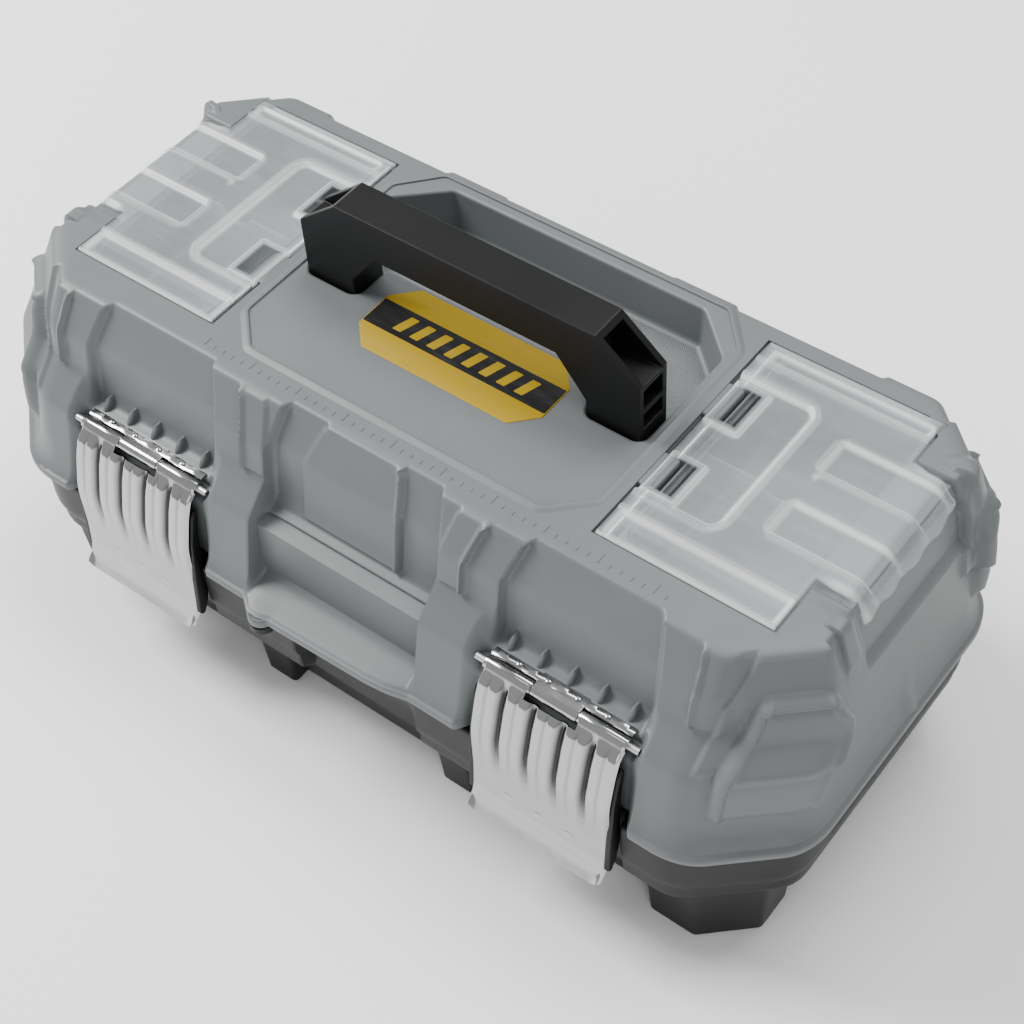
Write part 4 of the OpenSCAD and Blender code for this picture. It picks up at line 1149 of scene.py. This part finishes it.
def organizer_cover():
    """Right clear cover: a grid whose one way runs out along X and then bends down over the end, and
    whose other way is Y; its relief is added square to it. Cells over the hinge windows and beside the
    tab are left out, and the sheet gets its thickness from a wall modifier. Returns also how steep the
    relief is at each point."""
    xs = stations(99.0, 206.2, 1.9, 0.7, [101.8, 113.4, 129, 136, 151, 152.5, 177.7, 191.5], 4)
    ys = stations(-46.0, 76.0, 1.7, 0.7,
        [-43.8, -31.6, -30, -45, -16.6, 3.4, 27, 48.9, 66, 71.8, -7.4, 7.4, 29.2, 44, -17.4, 51.6], 2.6)
    snap_x, snap_y = [102.6, 112.6, 177.7], [-15.8, 2.6, 27.8, 48.1, -17.4, 51.6]
    for marks, axis in ((snap_x, xs), (snap_y, ys)):
        for m in marks:
            axis[np.abs(axis - m).argmin()] = m
    a, y = np.meshgrid(xs, ys)
    bend = np.array([(99, 0), (189, 0), (192.2, -0.6), (194.6, -2.8), (201.0, -11.0)])
    arc = 99 + np.concatenate([[0], np.cumsum(np.linalg.norm(np.diff(bend, axis=0), axis=1))])
    fine = np.linspace(99, arc[-1], 500)
    line = relax(np.stack([np.interp(fine, arc, bend[:, k]) for k in (0, 1)], axis=1), 60)
    a = np.minimum(a, arc[-1])
    reach = arc[-1] - 1.6 * np.sin((ys[:, None] + 17) / 69 * 4 * math.pi) ** 2 - 2.6 * ease(ys, 40,
        51.6)[:, None]
    scale = np.where(a > 192, 192 + (a - 192) * (reach - 192) / (arc[-1] - 192), a)
    x, z = np.interp(scale, fine, line[:, 0]), np.interp(scale, fine, line[:, 1])
    slope = np.gradient(line, axis=0)
    slope /= np.linalg.norm(slope, axis=1)[:, None]
    tx, tz = np.interp(scale, fine, slope[:, 0]), np.interp(scale, fine, slope[:, 1])
    h = cover_height(np.minimum(a, 193), y) * (1 - 0.7 * ease(a, 193, 203))
    edge = np.minimum(np.minimum(y + 46.0, 76.0 - y), 99)
    h -= 0.9 * (1 - ease(edge, 0, 1.8)) * (a < 178)
    tab_edge = np.minimum(y + 17.4, 51.6 - y)
    h -= 1.8 * (1 - ease(tab_edge, 0, 3.6)) * ease(a, 179, 186)
    # steep feeds the relief attribute: the material paints steep relief whiter, partly a painted highlight,
    # partly denser milky plastic
    steep = np.hypot(np.gradient(h, ys, axis=0),
        np.gradient(h, np.maximum.accumulate(xs + np.arange(len(xs)) * 1e-6), axis=1))
    p = np.stack([x - tz * h, y, DECK + 0.9 + z + tx * h], axis=-1)
    v, f = grid(p)
    f = np.array(f)
    mid_a, mid_y = a.reshape(-1)[f].mean(axis=1), y.reshape(-1)[f].mean(axis=1)
    gone = (mid_a > 177.7) & ((mid_y < -17.4) | (mid_y > 51.6))
    for y0, y1 in ((-15.8, 2.6), (27.8, 48.1)):
        gone |= (mid_a < 112.6) & (mid_a > 102.6) & (mid_y > y0) & (mid_y < y1)
    f = f[~gone]
    used = np.unique(f)
    place = np.zeros(len(v), int)
    place[used] = np.arange(len(used))
    return [(v[used], place[f].tolist())], np.clip(steep * 1.1, 0, 1).reshape(-1)[used]


def cover_rim():
    """Thin wall under the cover that drops into the well, and the hinge barrels between the windows."""
    out, inn = rectangle(107.4, 175.4, -40.4, 70.4), rectangle(107.4, 175.4, -40.4, 70.4)
    rings = [at_z(loop(out, 5.5), SKIN + 0.4), at_z(loop(out, 5.5), SKIN - 2.8),
        at_z(loop(inn, 5.5, 1.3), SKIN - 2.8), at_z(loop(inn, 5.5, 1.3), SKIN + 0.4)]
    parts = [loft(rings, flip=True)]
    for y0, y1 in ((-43.6, -16.5), (3.5, 27.5), (48.5, 73.6)):
        y = np.array([y0, y0 + 0.3, y1 - 0.3, y1])
        parts.append(tube(np.stack([np.full(4, 102.0), y, np.full(4, 163.0)], axis=-1),
            [2.4, 2.7, 2.7, 2.4], 20))
    return parts


plate_part, dark_part, bars = label_pieces()
piece("label_plate_film", [plate_part], YELLOW, "lid", replaces=["label_plate"])
piece("label_band", [dark_part], INK, "lid")
piece("label_bars", bars, YELLOW, "lid")
piece("ruler_marks", ruler_ticks(), GREY, "lid")
rounded_copy("carry_handle", "handle", GRIP, 0.9, 3)
(cover, dark), barrels, cheeks, strip = latch_cover(), latch_barrels(), latch_cheeks(), leaf_strip()
for side, flip in (("right", lambda q: q), ("left", mirrored)):
    body = "latch_" + side
    # the relief attribute here carries the flutes' painted dark reflection
    piece("latch_sheet_" + side, [flip(q) for q in cover], CHROME, body, 50,
        ["latch_cover_" + side], seal=True, relief=dark)
    piece("latch_eyes_" + side, [flip(q) for q in barrels], CHROME, body)
    piece("latch_cheeks_" + side, [flip(q) for q in cheeks], GRIP, body)
    rounded_copy("latch_lever_" + side, body, GRIP, 0.6)
    rounded_copy("latch_leaf_" + side, "lid", CHROME, 0.15)
    piece("leaf_strip_" + side, [flip(q) for q in strip], CHROME, "lid")
(sheet, steep), rim = organizer_cover(), cover_rim()
for side, flip in (("right", lambda q: q), ("left", mirrored)):
    body = "organizer_" + side
    piece("organizer_sheet_" + side, [flip(q) for q in sheet], CLEAR, body, 50,
        ["organizer_cover_" + side], solid=1.3, relief=steep)
    piece("organizer_rim_" + side, [flip(q) for q in rim], CLEAR, body)
    rounded_copy("organizer_divider_" + side, "lid", CLEAR, 0.3)
for name in ("handle_pin", "lid_hinge_pin", "latch_pin", "organizer_rod"):
    for side in ("left", "right"):
        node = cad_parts[name + "_" + side]
        node.data.materials.clear()
        node.data.materials.append(PIN)
rounded_copy("tray_body", "tray", BLACK, 0.7)
rounded_copy("tray_handle", "tray", GRIP, 1.2, 3)
for name in ("left", "middle", "right"):
    rounded_copy("tray_divider_" + name, "tray", DIVIDER, 0.5)


# ---- base ----

# Levels of the base's wall, from its underside up to the seam, as the lid's but from the ground
BASE_LEVELS = np.array([
    (5.0, 80.6, 191.0, 80.6, 29, 27), (5.4, 81.8, 192.2, 81.8, 29, 27), (7.0, 82.6, 193.0, 82.6, 29, 27),
    (31, 85.0, 195.8, 85.0, 31, 28),
    (32.4, 86.2, 197.0, 86.2, 31, 28), (37.4, 95.6, 205.8, 95.6, 35, 32),
    (38.6, 97.2, 207.2, 97.2, 36, 33), (40.0, 97.9, 207.9, 97.9, 36, 33),
    (48.2, 98.3, 208.3, 98.3, 36.5, 33.5), (49.3, 98.5, 208.5, 98.5, 36.5, 33.5),
    (49.8, 99.6, 209.6, 99.6, 37, 34), (51, 100, 210, 100, 37, 34),
    (73.6, 100, 210, 100, 37, 34), (74.8, 99.5, 209.5, 99.5, 37, 34), (75.2, 98.4, 208.4, 98.4, 37, 34),
    (75.2, 96.4, 206.4, 96.4, 37, 34),
])
BASE_STEPS = [1, 1, 8, 2, 4, 2, 2, 3, 1, 1, 1, 7, 2, 1, 1]


def base_wall():
    """The base's outside wall, laid out as the lid's is: rows follow the levels and columns the rounded
    outline, with the latch bays and the middle recess pushed in on the front run."""
    levels, _ = spread(BASE_LEVELS, BASE_STEPS, 1)
    marks = [-149, -146.6, -75.2, -72, -24, -21, 40, 43, 72, 75.2, 146.6, 149]
    arcs, s, x, y, _, on_front = wall_columns([208.0, 98.0, 98.0, 36.0, 33.0], marks, [0], [0], 4.5, 0.9)
    z, f, xh, b, cx, cy = levels.T
    w = np.interp(z, [5, 30, 40, 50, 75], [7, 7, 9, 11, 11])
    xy = soften(outline_corners(xh, f, b, cx, cy), arcs, s, w)
    n = outward(xy)
    height = np.repeat(z[:, None], len(s), axis=1)
    xf = np.where(on_front, x, 999.0)[None]
    ax = np.abs(xf)
    bays = ease(ax, 74.2, 76.0) * (1 - ease(ax, 145.8, 147.6))
    depth = np.maximum(f - 93.0, 0)[:, None]
    middle = ease(xf, -24.2, -21.6) * (1 - ease(xf, 40.6, 43.2))
    target = np.interp(z, [36, 49, 60, 67, 70], [92, 92, 95.5, 98.4, 100])
    push = -bays * depth - middle * np.maximum(f - target, 0)[:, None]
    # low flat panel on each end
    ye = np.where(np.isnan(y), 999.0, y)[None]
    push -= 1.0 * band(ye, -44, 52, 3) * band(height, 54, 70, 3)
    xy += n * push[..., None]
    return np.concatenate([xy, height[..., None]], axis=-1)


BASE_WALL = base_wall()


def base_feet():
    """Feet at the corners and pillars beside the middle: blocks with rounded edges that stand proud of
    the lower wall and widen a little upwards."""
    foot = [(152.6, -62), (152.6, -88.2), (176.0, -88.2), (196.4, -69), (196.4, -48), (184, -48)]
    pillar = [(43, -70), (43, -88.2), (60, -88.2), (60, -70)]
    parts = []
    for outline, r in ((foot, 3.5), (pillar, 2.2)):
        rings = [at_z(loop(outline, r, 1.6), 0.0), at_z(loop(outline, r, 0.7), 0.35),
            at_z(loop(outline, r, 0.2), 1.4)]
        rings += [at_z(loop(outline, r, -2.4 * q), 1.4 + 36.6 * q) for q in (0.0, 0.5, 1.0)]
        rings += [at_z(loop(outline, r, -2.4), 46)]
        one = loft(rings, first=True, last=True)
        v, fc = one
        back = (np.asarray(v) * [1, -1, 1], [q[::-1] for q in fc])
        parts += [one, mirrored(one), back, mirrored(back)]
    return parts


def base_liner():
    """Inside of the base: one wall thickness in from the outside, down to a rounded floor, with the
    front held back behind the latch bays."""
    z = np.array([75.2, 70, 52, 47, 40, 20, 11, 8.4, 7.8])
    x = np.array([206.0, 205.8, 205.6, 204, 193.8, 191.6, 190.4, 188.6, 186])
    f = np.array([90.2, 90.0, 90.0, 89, 82.4, 80.8, 79.6, 78, 75.6])
    b = np.array([96.2, 96.0, 95.8, 94, 82.4, 80.8, 79.6, 78, 75.6])
    cx, cy = np.linspace(36, 28, 9), np.linspace(33, 26, 9)
    pts = outline_corners(x, f, b, cx, cy)
    arcs = np.concatenate([[0], np.cumsum(np.linalg.norm(np.roll(pts[2], -1, axis=0) - pts[2], axis=1))])
    s = np.linspace(0, arcs[-1], 201)[:-1]
    p = np.concatenate([soften(pts, arcs, s, np.full(9, 7.0)),
        np.repeat(z[:, None, None], len(s), axis=1)], axis=-1)
    return [loft(list(p), last=True)], p[0]


def base_top_edge(inner):
    """Flat edge of the base under the lid's rim: the plate between the outside wall and the liner."""
    return [plate(BASE_WALL[-1][:, :2], [inner[:, :2]], 75.2)]


def base_floor():
    """Underside of the base, and the brackets inside each end that carry the tray's lips."""
    parts = [loft([BASE_WALL[0], BASE_WALL[0] + [0, 0, 0.01]], first=True)]
    for y in (-40, 0, 40):
        outline = [(196, 69.8), (206.6, 54), (206.6, 69.8)]
        for flip in (lambda q: q, mirrored):
            v, f = block([(p[1], p[0]) for p in outline][::-1], y - 4, y + 4, 0.8, 0.4)
            parts.append(flip((np.asarray(v)[:, [1, 2, 0]], f)))
    return parts


def base_extras():
    """Lower padlock lug under the lid's boss, and the keepers that the latches catch."""
    a = np.arange(36) * 2 * math.pi / 36
    ring = [(2.9, -4.3), (2.9, -0.6), (5.6, -0.4), (6.0, -0.9), (6.0, -3.9), (5.6, -4.3), (2.9, -4.3)]
    parts = [loft([np.stack([-34 + q * np.cos(a), -105.2 + q * np.sin(a), np.full_like(a, SEAM + h)],
        axis=-1) for q, h in ring], flip=True)]
    web = [(-46, -98), (-40.6, -105), (-37.2, -101.6), (-30.8, -101.6), (-27.4, -105), (-22, -98)]
    parts.append(block(web, SEAM - 4.3, SEAM - 0.5, 0.8, 0.4))
    for side in (1, -1):
        v, f = turned(block([(-92.4, 60), (-92.4, 67), (-95.4, 65.2), (-95.4, 61.8)], 82, 140, 0.6, 0.3),
            "x")
        parts.append((v, f) if side > 0 else mirrored((v, f)))
    return parts


piece("base_wall", [grid(BASE_WALL, closed=True)], BLACK, "base", replaces=["base_tub"])
piece("base_feet", base_feet(), BLACK, "base")
liner, inner_edge = base_liner()
piece("base_liner", liner, BLACK, "base")
piece("base_seam_edge", base_top_edge(inner_edge), BLACK, "base")
piece("base_floor", base_floor(), BLACK, "base")
piece("base_lugs", base_extras(), BLACK, "base", seal=False)
piece("base_knuckles", knuckles(-1, (-134, -90, 90, 134), 17.6), BLACK, "base")
